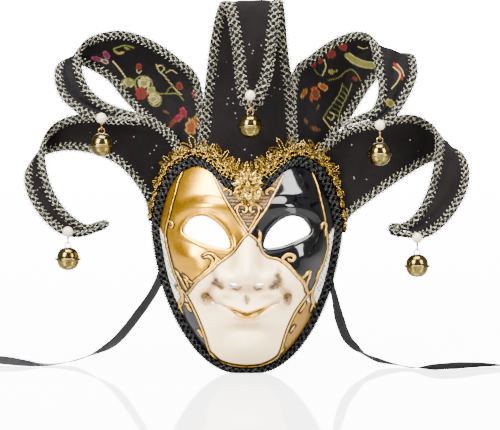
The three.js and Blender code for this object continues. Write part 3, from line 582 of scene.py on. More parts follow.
# The room is dim but for a bright screen behind the table; the camera itself sees white.
def makeRoom():
    world = bpy.data.worlds.new("room")
    world.use_nodes = True
    tree = world.node_tree
    across, back, up = node(tree, "SeparateXYZ", {0: node(tree, "TexCoord").outputs["Generated"]}).outputs
    behind = calc(tree, "GREATER_THAN", back, 0.0)
    side = spread(tree, calc(tree, "ABSOLUTE", across), *stage["side"], 1.0, 0.0)
    high = spread(tree, up, *stage["top"], 1.0, 0.0)
    screen = times(tree, behind, times(tree, side, high))
    glow = calc(tree, "ADD", times(tree, screen, stage["backdrop"]), stage["room"])
    seen = times(tree, node(tree, "LightPath").outputs["Is Camera Ray"], stage["seen"])
    tree.links.new(calc(tree, "MAXIMUM", glow, seen), tree.nodes["Background"].inputs["Strength"])
    tree.nodes["Background"].inputs["Color"].default_value = white
    bpy.context.scene.world = world


def makeSoftBoxes():
    for box in softBoxes:
        light = bpy.data.lights.new(box["name"], "AREA")
        light.shape = "RECTANGLE"
        light.size, light.size_y = box["size"][0] * mm, box["size"][1] * mm
        light.energy = box["power"]
        lamp = bpy.data.objects.new(box["name"], light)
        lamp.location = Vector(box["from"]) * mm
        aim = Vector(stage["boxAim"]) - Vector(box["from"])
        lamp.rotation_euler = aim.to_track_quat("-Z", "Y").to_euler()
        bpy.context.scene.collection.objects.link(lamp)


makeTable()
makeRoom()
makeSoftBoxes()
print("stage set")

# Satin ties from the back of the rim to the table: places, and the roll of the ribbon about its own run.
ribbon = {"width": 9.0, "thick": 0.5, "each": 8, "columns": 6, "cup": 0.35}
leftRoute = [
    (-75, -2.3, -31, 90), (-80, -1.4, -42, 90), (-86, 3, -54.5, 90), (-93.5, 10, -67, 90),
    (-104, 18, -82, 90), (-116, 25, -98, 85), (-127, 29, -109, 60), (-143, 32, -118.2, 12),
    (-155, 33, -123.6, -12), (-167, 33, -127, -15), (-185, 28, -129, 0), (-198, 26, -128.6, 14),
    (-211, 28, -127.5, 30), (-227, 33, -126.4, 45), (-243, 39, -126, 50),
]
rightRoute = [
    (73.5, -1.9, -32, 90), (77, -0.9, -46, 90), (81, 5, -61, 85), (83, 8, -70, 75), (85.5, 11, -80, 65),
    (92.5, 14, -99.5, 60), (99, 16, -108, 45), (108.5, 20, -116.5, 12), (124, 22, -124, 35),
    (139, 20, -127.2, 20), (156.5, 10.5, -128.8, 4), (175, 4, -126.9, 48), (196, 8, -126.4, 55),
    (221, 17, -127.3, 35), (241, 19.5, -128.2, 15),
]


def makeRibbon(side, route):
    name, route = side + "Ribbon", np.array(route, float)
    middle = smoothCurve(route[:, :3], each=ribbon["each"])
    places = np.arange(len(middle)) / ribbon["each"]
    roll = np.radians(np.interp(places, np.arange(len(route)), route[:, 3]))[:, None]
    run = unit(np.gradient(middle, axis=0))
    level = unit(np.cross(run, (0, 0, 1)))
    wide = level * np.cos(roll) + np.cross(level, run) * np.sin(roll)
    out = np.cross(run, wide)[:, None]
    across = np.linspace(-0.5, 0.5, ribbon["columns"] + 1) * ribbon["width"]
    cup = ribbon["cup"] * (np.abs(across / ribbon["width"]) * 2) ** 2  # it lies slightly cupped
    sheet = middle[:, None] + wide[:, None] * across[None, :, None] + out * cup[None, :, None]
    along = lengthAlong(middle)
    batch = newBatch()
    addCloth(batch, sheet, out * ribbon["thick"] / 2, along, across)
    made = makeObject(name, batch, [finishes["satin"]], replaces=["ribbon_" + side])
    print(name, "length", round(float(along[-1])), "mm")


makeRibbon("left", leftRoute)
makeRibbon("right", rightRoute)

# The moulded face: a dome that meets its rim, with soft rises and hollows on it.
face = {"wall": 2.4, "middle": -34.0, "first": 0.004, "rows": 172, "around": 430, "snap": 1.4,
        "holeStep": 0.25, "liningRows": 56, "liningAround": 150, "liningSnap": 3.6, "rimSteps": 300,
        "eyeStep": 0.8, "nostrilStep": 0.6}
dome = {"depth": 62.0, "seat": 10.0, "middle": -10.0, "across": 86.0, "above": 109.0, "power": 2.2,
        "jawTop": 8.0, "jawShare": 0.975, "jawBlend": (-25.0, 10.0), "least": 0.004}
rimHalf = [(0, 47.5), (20.5, 54), (34.5, 65.5), (48.2, 69), (62.5, 61), (72, 48), (79.2, 28.5), (83, 8),
           (81.2, -13), (75.3, -39.5), (68.4, -62.5), (55.8, -89), (38.6, -111.5), (20.5, -123.8),
           (0, -127)]
# middle x and z, half sizes along and across, tilt, curl, and how far forwards
features = [
    (38, 29, 26, 8, -6, -0.008, 6), # brow
    (37, 7, 24, 12, 20, 0, -6.5), # eye socket
    (0, -3, 8, 17, 0, 0, 7), # nose bridge
    (0, -22, 10, 14, 0, 0, 12), # nose ridge
    (0, -33, 13, 10, 0, 0, 12), # nose tip
    (18, -36, 9, 8, 0, 0, 8), # nose wing
    (45, -33, 20, 16, -20, 0, 9), # cheek
    (32, -47, 11, 4, -58, 0, -4.5), # smile crease
    (36.5, -53.5, 5, 5, 0, 0, -3.5), # dimple
    (29, -58, 9, 2.6, 27, 0, -2.4), # grin
    (0, -65, 26, 15, 0, 0, 6), # muzzle
    (0, -65.5, 17, 3.4, 0, 0.018, 2.5), # upper lip
    (0, -69, 22, 2, 0, 0.018, -3), # mouth line
    (0, -73, 13, 3.6, 0, 0.018, 3.4), # lower lip
    (0, -83, 15, 5, 0, 0, -3), # chin groove
    (0, -101, 20, 14, 0, 0, 10), # chin
]
fineRelief = [
    (40, 38, 25, 5, -4, -0.011, -1.5), # crease over the lid
    (54, -16, 13, 9, -18, 0, 3.4), # cheekbone
    (27, -37, 2.6, 8, -18, 0, -2.6), # groove round the nose wing
    (0, -57, 2.4, 5, 0, 0, -1.4), # groove above the lip
    (12, -46.5, 7, 2.2, 12, 0, -1.6), # under the nostril
    (37, -57, 3, 7, 22, 0, -1.8), # fold below the dimple
]
eyeHole = [(15.9, -7.4), (18.4, 3.2), (26.8, 13.2), (38.5, 19.4), (49.6, 16.8), (57.6, 5), (44.5, -2.4),
           (28, -7.6)]
nostril = {"x": 12.0, "z": -41.8, "across": 4.0, "up": 2.1, "points": 25}
# the rolled edge round each eye hole, and the part of the face that it can reach
lid = {"rise": 1.5, "from": 2.4, "wide": 1.9, "middle": (37, 6), "within": (34, 28)}

rimCurve = smoothCurve(rimHalf + [(-x, z) for x, z in rimHalf[-2:0:-1]], closed=True, each=40)
rimLength = lengthAlong(rimCurve)
eyeCurve = smoothCurve(eyeHole, closed=True, each=10)
nostrilTurn = np.linspace(0, fullTurn, nostril["points"])
nostrilCurve = np.stack((nostril["x"] + nostril["across"] * np.cos(nostrilTurn),
                         nostril["z"] + nostril["up"] * np.sin(nostrilTurn)), -1)
# the jaw as turn and reach about the dome's middle
jawPart = rimCurve[(rimCurve[:, 0] >= 0) & (rimCurve[:, 1] < dome["jawTop"])] - (0, dome["middle"])
jawPart = jawPart[np.argsort(np.arctan2(jawPart[:, 0], -jawPart[:, 1]))]
jawTurn, jawReach = np.arctan2(jawPart[:, 0], -jawPart[:, 1]), np.hypot(jawPart[:, 0], jawPart[:, 1])


def rimPoint(along):
    spot = np.mod(along, 1.0) * rimLength[-1]
    return np.stack([np.interp(spot, rimLength, rimCurve[:, k]) for k in (0, 1)], -1)


def segmentDistance(spots, line):
    best = np.full(spots.shape[:-1], np.inf)
    for a, b in zip(line[:-1], line[1:]):
        edge = b - a
        t = np.clip(((spots - a) @ edge) / max(edge @ edge, tiny), 0, 1)
        best = np.minimum(best, np.linalg.norm(spots - a - t[..., None] * edge, axis=-1))
    return best


def insideOutline(spots, outline):
    x, y = spots[..., 0], spots[..., 1]
    inside = np.zeros(x.shape, bool)
    for (ax, ay), (bx, by) in zip(outline, np.roll(outline, -1, axis=0)):
        if ay != by:
            inside ^= ((ay > y) != (by > y)) & (x < (bx - ax) * (y - ay) / (by - ay) + ax)
    return inside


def domeShare(x, z):
    up, power = z - dome["middle"], dome["power"]
    egg = (np.abs(x) / dome["across"]) ** power + (np.abs(up) / dome["above"]) ** power
    reach = np.interp(np.arctan2(np.abs(x), -up), jawTurn, jawReach)
    jaw = (dome["jawShare"] * np.hypot(x, up) / reach) ** 2
    return np.maximum(dome["least"], 1 - mix(jaw, egg ** (2 / power), smoothStep(up, *dome["jawBlend"])))


def faceDepth(x, z):
    depth = dome["seat"] - dome["depth"] * np.sqrt(domeShare(x, z))
    for fx, fz, along, wide, tilt, curl, out in features + fineRelief:
        tilt = math.radians(tilt)
        for side in ((1, -1) if fx else (1,)):
            across, up = side * x - fx, z - fz
            u = across * math.cos(tilt) + up * math.sin(tilt)
            v = up * math.cos(tilt) - across * math.sin(tilt) - curl * u * u
            depth = depth - out * np.exp(-((u / along) ** 2) - (v / wide) ** 2)
    return depth


def lidRise(x, z):
    spots = np.stack((np.abs(x), z), -1)
    away = np.full(x.shape, np.inf)
    close = np.all(np.abs(spots - lid["middle"]) < lid["within"], -1)
    away[close] = segmentDistance(spots[close], eyeCurve)
    return lid["rise"] * np.exp(-(((away - lid["from"]) / lid["wide"]) ** 2))


def facePoint(x, z):
    return np.stack((x, faceDepth(x, z), z), -1)


def faceNormal(x, z):
    step = 0.5
    slopeX = (faceDepth(x + step, z) - faceDepth(x - step, z)) / (2 * step)
    slopeZ = (faceDepth(x, z + step) - faceDepth(x, z - step)) / (2 * step)
    return unit(np.stack((slopeX, -np.ones_like(x), slopeZ), -1))


# The painted front has the rolled edge round the eye holes, and the back is a wall's thickness behind.
def frontPoint(x, z):
    points = facePoint(x, z)
    points[..., 1] -= lidRise(x, z)
    return points


def backPoint(x, z):
    return facePoint(x, z) - faceNormal(x, z) * face["wall"]


# The spot on the face behind a place in the picture, found in a few rounds.
def faceBehind(pixels, rounds=12, pull=0.9):
    pixels = np.asarray(pixels, float)
    size = view["distance"] / view["focal"] * view["sensor"] / view["width"]
    scale = np.array((size, -size))
    spot = (pixels - (view["width"] / 2, view["height"] / 2)) * scale + (view["aim"][0], view["aim"][2])
    for _ in range(rounds):
        miss = pixels - pictureSpot(facePoint(spot[..., 0], spot[..., 1]))
        spot = spot + miss * scale * pull
    return spot


def faceGrid(rows, around):
    share = np.linspace(face["first"], 1, rows)[:, None]
    rim = rimPoint(np.arange(around) / around)
    return share * rim[None, :, 0], mix(face["middle"], rim[None, :, 1], share)


# Quads inside a hole go, and the ones round it are drawn onto the hole's edge.
def cutHoles(x, z, reach):
    rows, around = x.shape
    spots = np.stack((np.abs(x), z), -1)
    pairs = (spots + np.roll(spots, -1, 1)) / 4
    middles = pairs[:-1] + pairs[1:]
    keep = np.ones(middles.shape[:2], bool)
    for curve in (eyeCurve, nostrilCurve):
        gone = insideOutline(middles, curve[:-1])
        keep &= ~gone
        touched, kept = np.zeros((rows, around), bool), np.zeros((rows, around), bool)
        for flags, target in ((gone, touched), (~gone, kept)):
            for di, dj in ((0, 0), (0, 1), (1, 0), (1, 1)):
                target[di:rows - 1 + di] |= np.roll(flags, dj, 1)
        places = resample(curve, step=face["holeStep"])
        for i, j in zip(*np.nonzero(touched & kept)):
            gaps = np.linalg.norm(places - spots[i, j], axis=1)
            best = places[np.argmin(gaps)]
            if gaps.min() < reach:
                x[i, j], z[i, j] = best[0] * (1 if x[i, j] >= 0 else -1), best[1]
    return keep.ravel()


# Painted regions and the raised gold lines between them, in the picture's own pixels.
creamLeft = [(247.5, 234), (243, 238.5), (238.3, 245), (233.3, 251.7), (225, 258.5), (218.3, 263.3),
             (211.7, 270), (205, 275), (196.7, 281.7), (191.7, 288.3), (188.3, 292.5), (185.5, 294)]
jawLeft = [(185.5, 294), (190, 302), (195, 312), (200, 323.5), (205, 337), (208.3, 348.3), (211.7, 355.2),
           (218.3, 360.2), (228.3, 364.2), (240, 366.2), (247, 366.7)]
creamRight = [(249, 234), (255, 238.3), (259.2, 243.3), (262.5, 251.7), (268.3, 256.7), (278.3, 259.2),
              (285, 263.3), (291.7, 270), (300, 276.7), (304.2, 282.5), (306.7, 288.3), (307.8, 294)]
jawRight = [(307.8, 294), (304.2, 300), (296.7, 310.5), (290, 323.5), (285, 337), (281, 350), (278, 356),
            (270, 361.6), (260, 365.4), (247, 366.7)]
browLeft = [(214, 175.5), (217, 182), (220.5, 189.5), (225, 198.3), (230.8, 208.3), (238.3, 220),
            (247.5, 234)]
browRight = [(283.5, 175.5), (280, 182), (276.5, 189.5), (271.7, 198.3), (266.7, 208.3), (258.3, 220),
             (249, 234)]
sideLeft = [(182.5, 172), (178.6, 181), (175.8, 191.7), (172.5, 203.3), (169.7, 215), (167.2, 224),
            (165.6, 233.3), (166.5, 242), (168.7, 252), (171.7, 263.3), (174.2, 271.7), (177.5, 280),
            (180.8, 288.3), (185.5, 294)]
sideRight = [(312.5, 173), (317.5, 186.7), (320.8, 200), (324.2, 215), (325.6, 225), (327, 238.3),
             (327.2, 248.3), (325, 256.7), (321.7, 266.7), (318.3, 275), (315, 283.3), (311.7, 290),
             (307.8, 294)]
stripLeft = [(180.8, 288.3), (183.2, 296), (182.6, 303), (178.5, 309)]
stripRight = [(313.5, 287), (311.6, 296), (312.4, 303), (316.3, 309)]
heartLeft = [(238.5, 206.5), (237, 209.5), (237.8, 213.5), (241, 219), (244.5, 224.5), (248, 230.5)]
heartRight = [(257.5, 206.5), (259, 209.5), (258.3, 213.5), (255.3, 219), (252, 224.5), (248.4, 230.5)]
# leaves and C-scrolls of gold paste: each row a place and half a width
strokes = [
    [(202.5, 256, 0.4), (207, 253.6, 0.8), (212, 254, 1.1), (216.4, 258, 1.4), (216, 262.5, 1.6),
     (212, 267, 1.5), (205, 272.5, 1.2), (198, 278, 1.1), (193.5, 282, 1.0)],
    [(204, 257.5, 0.5), (208.5, 256.6, 1.0), (212, 259.5, 1.3), (212.5, 263.5, 1.3), (209.5, 267.5, 0.8)],
    [(216.5, 257, 0.4), (219.5, 260, 1.1), (219, 262.5, 0.9)],
    [(282, 261.2, 0.9), (283.6, 257.4, 1.5), (287.4, 255, 1.6), (291.6, 254.8, 1.6), (294.6, 257.4, 1.5),
     (292.8, 260.4, 1.3), (289.4, 260.6, 1.1), (288, 258.4, 0.9)],
    [(283, 260.8, 1.0), (287.5, 264.5, 1.5), (293, 270.8, 1.6), (298.6, 276.8, 1.5), (303, 281.4, 1.5),
     (305.2, 286, 1.4), (306.2, 291.4, 0.8)],
    [(302, 278.6, 0.7), (305, 275.4, 1.5), (308.4, 272, 2.0), (310.6, 270.6, 1.2)],
    [(310.8, 271.6, 0.8), (309.4, 276, 1.5), (307.4, 280.6, 1.4), (306.4, 286, 1.0)],
    [(322, 265, 0.6), (320.6, 268.4, 1.2), (318, 273.4, 1.0), (315.4, 279, 0.8)],
    [(174.6, 269.4, 0.7), (177, 272, 1.4), (180, 277, 1.3), (184, 284, 1.4), (187, 290, 1.2)],
    [(182.6, 274.4, 0.5), (186, 277, 1.2), (190, 281.5, 1.2), (192.6, 282.6, 0.9)],
    [(183.6, 277.6, 0.5), (187, 282, 1.3), (188.4, 287, 1.1)],
    [(176.4, 286, 0.6), (178.6, 288.6, 1.3), (181.4, 293, 1.3), (182, 299, 1.1), (180.4, 303, 0.6)],
    [(167.4, 221.4, 0.5), (170.6, 221.6, 1.1), (173, 224.4, 1.2), (171.8, 227.4, 1.1), (169, 226.6, 0.8)],
    [(321.6, 228.6, 0.8), (322, 224.6, 1.4), (324.4, 222.6, 1.4), (326.2, 225.4, 1.3), (325.6, 229.4, 1.1),
     (325.2, 236, 1.1)],
    [(259, 230, 0.5), (260, 234, 1.5), (259.6, 240, 1.7), (258.2, 245, 0.6)],
    [(222.6, 191, 1.0), (226, 189, 1.5), (230, 190, 1.5), (231.6, 193.4, 1.1), (229.4, 195, 0.8)],
    [(275.4, 190.4, 1.0), (271.6, 189, 1.5), (267.4, 190, 1.5), (266, 193.2, 1.1), (268.6, 194.6, 0.8)],
    [(234, 209.4, 0.6), (237, 206.2, 1.0), (241, 204.6, 1.3), (245.4, 206, 1.3), (247, 209.6, 1.1),
     (244.6, 212.6, 1.0), (242, 210.8, 0.8)],
    [(262, 209.4, 0.6), (259, 206.6, 1.0), (255.4, 204.4, 1.3), (251.6, 205.6, 1.3), (250, 209, 1.1),
     (252.2, 212.4, 1.0), (254.6, 210.8, 0.8)],
    [(184.4, 303.6, 0.6), (187.6, 304.8, 1.7), (190, 309, 1.8), (192, 311.6, 0.6)],
    [(196.4, 330.2, 0.6), (199.4, 330.6, 1.6), (202, 335, 1.7), (203.4, 337.6, 0.6)],
    [(208, 354, 0.5), (211, 353.6, 1.3), (215, 357.4, 1.3), (218, 360, 0.5)],
    [(181.5, 298, 0.8), (179.2, 303.6, 1.3), (181, 308.6, 1.1), (183.4, 313.4, 0.6)],
    [(305.4, 301.6, 0.5), (303.6, 305.6, 1.5), (301, 309.6, 1.3), (299.6, 312, 0.5)],
    [(294.6, 325.6, 0.6), (292.4, 328, 1.4), (290.6, 331.6, 0.7)],
    [(284, 347.6, 0.5), (281.8, 350.6, 1.2), (279.6, 354, 0.6)],
    [(311, 297, 1.0), (313.4, 301.6, 1.4), (311.6, 307, 1.3), (310.4, 311.6, 0.8)],
]
lips = [(222.5, 304.2), (228.5, 306), (234.5, 307.2), (240.2, 309.8), (246.8, 312.8), (252.4, 310.4),
        (259, 308), (265.5, 306.4), (273, 304), (267, 309), (262, 312.8), (258.4, 316.8), (252.4, 320),
        (246.4, 320.7), (240, 319.6), (235.6, 315.8), (232, 311.6), (227, 308)]
lipShine = [(239.4, 314.6, 3.4, 1.0, 0.35), (254.0, 314.8, 4.0, 1.1, -0.3)]  # painted highlights on the lower lip: place, half sizes and lean
# brown rubbed into the hollows: soft spots (place, half sizes, strength)
# and streaks (line, half width, strength)
agedSpots = [
    (218.0, 284.5, 5.0, 3.4, 0.7), (277.0, 283.5, 5.0, 4.4, 0.7), (207.4, 298.4, 6.6, 5.4, 0.66),
    (287.5, 298.6, 4.4, 6.2, 0.75), (237.5, 289.0, 5.5, 2.6, 0.5), (257.5, 289.0, 5.5, 2.8, 0.5),
    (246.8, 299.6, 3.0, 3.2, 0.6), (213.0, 302.0, 6.0, 7.0, 0.2), (282.0, 303.0, 6.0, 7.0, 0.2),
    (247.0, 323.0, 13.0, 2.2, 0.08), (214.0, 274.0, 3.0, 6.0, 0.22), (279.0, 273.0, 3.0, 6.0, 0.22),
    (226.0, 297.0, 8.0, 3.0, 0.16), (268.0, 297.0, 8.0, 3.0, 0.16),
]
agedStreaks = [
    ([(213.5, 283.0), (217.0, 285.0), (222.0, 287.4)], 1.7, 0.95),
    ([(216.0, 280.0), (218.0, 284.0)], 1.8, 0.9),
    ([(277.6, 275.5), (279.6, 280.0), (276.5, 284.0), (271.0, 287.4)], 2.0, 0.9),
    ([(279.6, 280.0), (277.0, 287.4)], 1.6, 0.8),
    ([(274.6, 282.0), (273.6, 288.0)], 1.4, 0.7),
    ([(201.6, 297.5), (203.6, 294.0), (207.0, 293.6), (212.0, 299.0), (216.0, 303.4)], 1.2, 0.7),
    ([(203.0, 299.0), (206.0, 304.0)], 1.4, 0.5),
    ([(284.2, 299.0), (286.0, 294.8), (289.2, 294.0), (291.0, 297.6), (289.0, 304.0)], 1.2, 0.75),
    ([(216.0, 302.6), (224.0, 305.6)], 0.8, 0.5), ([(279.0, 302.0), (271.5, 304.8)], 0.8, 0.5),
    ([(233.0, 288.4), (238.0, 289.8), (240.4, 287.4)], 1.2, 0.8),
    ([(261.0, 288.4), (256.6, 289.8), (254.2, 287.4)], 1.2, 0.8),
    ([(245.6, 296.6), (247.0, 303.0)], 1.3, 0.6),
    ([(234.0, 318.0), (246.0, 321.6), (259.0, 318.0)], 0.9, 0.12),
]
# past the rim, where the gold and the lacquer end
goldBeyond = [(160, 228), (148, 200), (168, 150), (200, 138), (214, 150)]
lacquerBeyond = [(337, 222), (347, 195), (326, 150), (295, 133), (283, 150)]
mouthLine = [(231, 309.3), (238, 311.6), (247, 315.2), (255, 311.8), (264, 308.8)]
paintPlaces = {"middle": 247.5, "stripTop": 228, "stripLow": 302, "panelLow": 240}
paintLooks = {  # colour, gloss and metal of each region
    "cream": (tone(255, 222, 166), 0.34, 0.0),
    "gold": (tone(204, 146, 4), 0.28, 1.0),
    "lacquer": (tone(4, 4, 5), 0.07, 0.0),
    "glitter": (tone(128, 98, 62), 0.34, 0.4),
    "silver": (tone(226, 214, 196), 0.36, 0.1),
    "gloss": (tone(24, 24, 26), 0.14, 0.0),
    "bronze": (tone(150, 110, 34), 0.3, 0.75),
    "lips": (tone(238, 184, 48), 0.22, 0.85),
}
# dark bands across the brow panel, dark flecks in the silver, blotches in the ageing: waves over the picture
bands = {"down": 1.9, "sway": 0.4, "swayAcross": 0.9, "level": 0.1, "dark": 0.16, "glint": (0.4, 1.4)}
flecks = {"across": 1.5, "sway": 1.3, "swayDown": 0.5, "down": 1.15, "level": 0.2, "dark": 0.16}
blotches = {"across": 0.83, "sway": 2.0, "swayDown": 0.61, "down": 1.07, "level": 0.55, "depth": 0.45,
            "gain": 1.25, "grain": 0.45, "range": (0.7, 1.35)}
# brown for the ageing and also for the painted shade in the hollows of the relief; dark for the painted shade
# beside the gold lines
ageingAndShade = {"brown": tone(34, 18, 4), "dark": tone(14, 8, 2), "cells": 7, "rounds": 3, "hollow": 1.2,
           "wash": 0.14, "streak": 1.3, "mouth": 0.6, "mouthWide": 0.8, "most": 0.95}
lineShadow = {"from": 0.4, "to": 1.5, "share": 0.93, "dull": 0.25, "dullBelow": 0.2, "metal": 0.6}
# the painted highlights on the lower lip: how much paler, and how much less metal
lipHighlight = {"share": 0.6, "metal": 0.7}
goldLine = {"width": 0.9, "heartWidth": 0.7, "each": 6, "lift": 0.2, "step": 0.7, "sides": 8, "flat": 0.75,
            "wobble": 0.1, "wobbleRun": 0.6, "tip": 0.4, "tipSteps": 4}
leastColor = 1e-4


# How far each spot of the face lies behind the spots round it, which sets where the painted shade in the
# hollows goes.
def hollows(points):
    depth = soft = points[..., 1]
    cells = ageingAndShade["cells"]
    count = 2 * cells + 1
    for _ in range(ageingAndShade["rounds"]):
        soft = sum(np.roll(soft, k, 1) for k in range(-cells, cells + 1)) / count
        padded = np.pad(soft, ((cells, cells), (0, 0)), mode="edge")
        soft = sum(padded[k:k + len(soft)] for k in range(count)) / count
    return np.clip((depth - soft) / ageingAndShade["hollow"], 0, 1)


# A thin wash of one colour over another, for the brown ageing and for painted shade.
def stainAndShade(color, wash, share):
    share = share[..., None]
    return np.maximum(color, leastColor) ** (1 - share) * np.maximum(wash[:3], leastColor) ** share


# Full on a line, and fading out beside it.
def besideLine(spots, line, width):
    return np.exp(-((segmentDistance(spots, smoothCurve(line, each=4)) / width) ** 2))


# An uneven pattern of spots, between -1 and 1.
def mottle(x, y, wave):
    sway = wave["sway"] * np.sin(y * wave["swayDown"])
    return np.sin(x * wave["across"] + sway) * np.sin(y * wave["down"])


def evenLine(line, width):
    return smoothCurve([(x, y, width) for x, y in line], each=goldLine["each"])


borders = [creamLeft, jawLeft, creamRight, jawRight, browLeft, browRight, sideLeft, sideRight, stripLeft,
           stripRight]
goldLines = [evenLine(line, goldLine["width"]) for line in borders]
goldLines += [evenLine(line, goldLine["heartWidth"]) for line in (heartLeft, heartRight)]
goldLines += [smoothCurve(line, each=goldLine["each"]) for line in strokes]


# The spots that each paint covers; a later one lies over an earlier one.
def paintMasks(spots):
    x, y = spots[..., 0], spots[..., 1]
    cream = insideOutline(spots, np.array(creamLeft[::-1] + creamRight + jawRight + jawLeft[::-1]))
    gold = insideOutline(spots, np.array(browLeft + creamLeft + sideLeft[:6:-1] + goldBeyond))
    lacquer = insideOutline(spots, np.array(browRight + creamRight + sideRight[:4:-1] + lacquerBeyond))
    rest = ~(cream | gold | lacquer)
    strip = rest & (y > paintPlaces["stripTop"]) & (y < paintPlaces["stripLow"])
    panel = rest & ~strip & (y < paintPlaces["panelLow"])
    low, left = rest & ~strip & ~panel, x < paintPlaces["middle"]
    return {"cream": cream, "gold": gold, "lacquer": lacquer, "glitter": panel, "silver": strip,
            "gloss": low & left, "bronze": low & ~left, "lips": insideOutline(spots, np.array(lips))}


def ageAndShadeShare(spots, points, masks, grain):
    x, y = spots[..., 0], spots[..., 1]
    ageAndShade = np.zeros(x.shape)
    for ax, ay, wide, tall, strength in agedSpots:
        ageAndShade = np.maximum(ageAndShade, strength * np.exp(-(((x - ax) / wide) ** 2) - ((y - ay) / tall) ** 2))
    for line, wide, strength in agedStreaks:
        ageAndShade = np.maximum(ageAndShade, strength * besideLine(spots, line, ageingAndShade["streak"] * wide))
    blotch = blotches["gain"] * (blotches["level"] + blotches["depth"] * mottle(x, y, blotches))
    blotch = np.clip(blotch + blotches["grain"] * (grain - 0.5), *blotches["range"])
    ageAndShade *= (masks["cream"] & ~masks["lips"]) * blotch
    ageAndShade = np.maximum(ageAndShade, ageingAndShade["mouth"] * besideLine(spots, mouthLine, ageingAndShade["mouthWide"]))
    # painted shade: brown laid into the hollows of the relief
    ageAndShade = np.maximum(ageAndShade, ageingAndShade["wash"] * hollows(points) * masks["cream"])
    return np.clip(ageAndShade, 0, ageingAndShade["most"])


def regionColors(points):
    spots = pictureSpot(points)
    x, y = spots[..., 0], spots[..., 1]
    masks = paintMasks(spots)
    color, rough, metal = np.zeros(x.shape + (3,)), np.zeros(x.shape), np.zeros(x.shape)
    for name, mask in masks.items():
        color[mask] = paintLooks[name][0][:3]
        rough[mask], metal[mask] = paintLooks[name][1:]
    grain = rng.random(x.shape)
    lines = np.sin(y * bands["down"] + bands["sway"] * np.sin(x * bands["swayAcross"]))
    glint = bands["glint"][0] + bands["glint"][1] * grain**2
    printed = np.where(lines > bands["level"], bands["dark"], 1.0) * glint
    color *= np.where(masks["glitter"], printed, 1.0)[..., None]
    specks = masks["silver"] & (mottle(x, y, flecks) > flecks["level"])
    color *= np.where(specks, flecks["dark"], 1.0)[..., None]
    # brown ageing, with painted shade in the hollows of the relief
    color = stainAndShade(color, ageingAndShade["brown"], ageAndShadeShare(spots, points, masks, grain))
    # painted highlights on the lower lip, paler and less metallic
    for sx, sy, wide, tall, lean in lipShine:
        across = x - sx
        highlight = masks["lips"] * np.exp(-((across / wide) ** 4) - ((y - sy - lean * across) / tall) ** 4)
        color = mix(color, paintLooks["cream"][0][:3], lipHighlight["share"] * highlight[..., None])
        metal = metal * (1 - lipHighlight["metal"] * highlight)
    near = np.full(x.shape, np.inf)
    for line in goldLines:
        near = np.minimum(near, segmentDistance(spots, line[::2, :2]) - line[:, 2].mean())
    shadow = (1 - smoothStep(near, lineShadow["from"], lineShadow["to"])) * lineShadow["share"]
    rough = rough + lineShadow["dull"] * shadow * (rough < lineShadow["dullBelow"])
    return stainAndShade(color, ageingAndShade["dark"], shadow), rough, metal * (1 - lineShadow["metal"] * shadow)


def makeFace():
    x, z = faceGrid(face["rows"], face["around"])
    keep = cutHoles(x, z, face["snap"])
    points = frontPoint(x, z)
    batch = newBatch()
    addGrid(batch, points, closed=True)
    keepQuads(batch, keep)
    color, rough, metal = regionColors(points)
    makeObject("paintedFace", batch, [finishes["paint"]], replaces=["face_shell"],
               colors={"paintColor": color.reshape(-1, 3)}, values={"paintRough": rough, "paintMetal": metal})
    print("face done")


def makeLining():
    x, z = faceGrid(face["liningRows"], face["liningAround"])
    keep = cutHoles(x, z, face["liningSnap"])
    batch = newBatch()
    addGrid(batch, backPoint(x, z), closed=True, flip=True)
    keepQuads(batch, keep)
    edges = [(rimPoint(np.arange(face["rimSteps"] + 1) / face["rimSteps"]), False)]
    for curve, step in ((eyeCurve, face["eyeStep"]), (nostrilCurve, face["nostrilStep"])):
        edge = resample(curve, step=step)
        edges += [(edge, True), (edge[::-1] * (-1, 1), True)]
    for edge, hole in edges:  # the thickness of the wall shows at the rim and in the holes
        wall = np.stack((frontPoint(*edge.T), backPoint(*edge.T)))
        addGrid(batch, wall, flip=hole, slot=0 if hole else 1)
    makeObject("paperLining", batch, [finishes["lining"], finishes["blackCore"]], replaces=["face_shell"])
    print("lining done")


def makeScrollLines():
    batch = newBatch()
    for line in goldLines:
        x, z = faceBehind(line[:, :2]).T
        normal = faceNormal(x, z)
        points = frontPoint(x, z) + normal * goldLine["lift"]
        path = resample(np.concatenate((points, normal, line[:, 2:]), 1), step=goldLine["step"])
        place = np.arange(len(path))
        ends = np.clip(goldLine["tip"] + np.minimum(place, place[::-1]) / goldLine["tipSteps"], 0, 1)
        wobble = 1 + goldLine["wobble"] * np.sin(place * goldLine["wobbleRun"] + rng.random() * 6)
        addCord(batch, path[:, :3], path[:, 3:6], 1.0, sides=goldLine["sides"], flat=goldLine["flat"],
                taper=path[:, 6] * wobble * ends)
    makeObject("goldScrolls", batch, [finishes["scroll"]])
    print("gold lines done:", len(goldLines))


makeFace()
makeLining()
makeScrollLines()

# Plaited braids: strands that cross from edge to edge over a dark core, with small loops along both edges.
faceGimp = {"width": 11.0, "core": 2.2, "strands": 7, "reach": 4.6, "period": 12.0, "strand": 0.78,
            "rise": 0.7, "step": 0.85, "loop": 0.8, "loopPitch": 2.5, "loopCord": 0.5, "loopSteps": 7,
            "loopRise": 0.35, "sides": (1,), "second": 3, "inset": 4.4, "inStep": 1.5, "lift": 1.9,
            "turn": 0.68, "steps": 720, "search": (1, 0.7, 90),
            "chin": (-124.0, -84.0), "chinWidth": 0.62}  # it narrows under the chin
# what both kinds of braid share: how far the core stays inside the width, and how uneven the work is
plait = {"edge": 0.7, "bevel": 0.8, "crown": 1.2, "straight": 0.97, "uneven": 0.12, "stagger": 3.1,
         "loopOut": 0.2, "loopTall": 1.15, "loopLeast": 0.8, "loopMore": 0.4, "loopRun": 0.21}


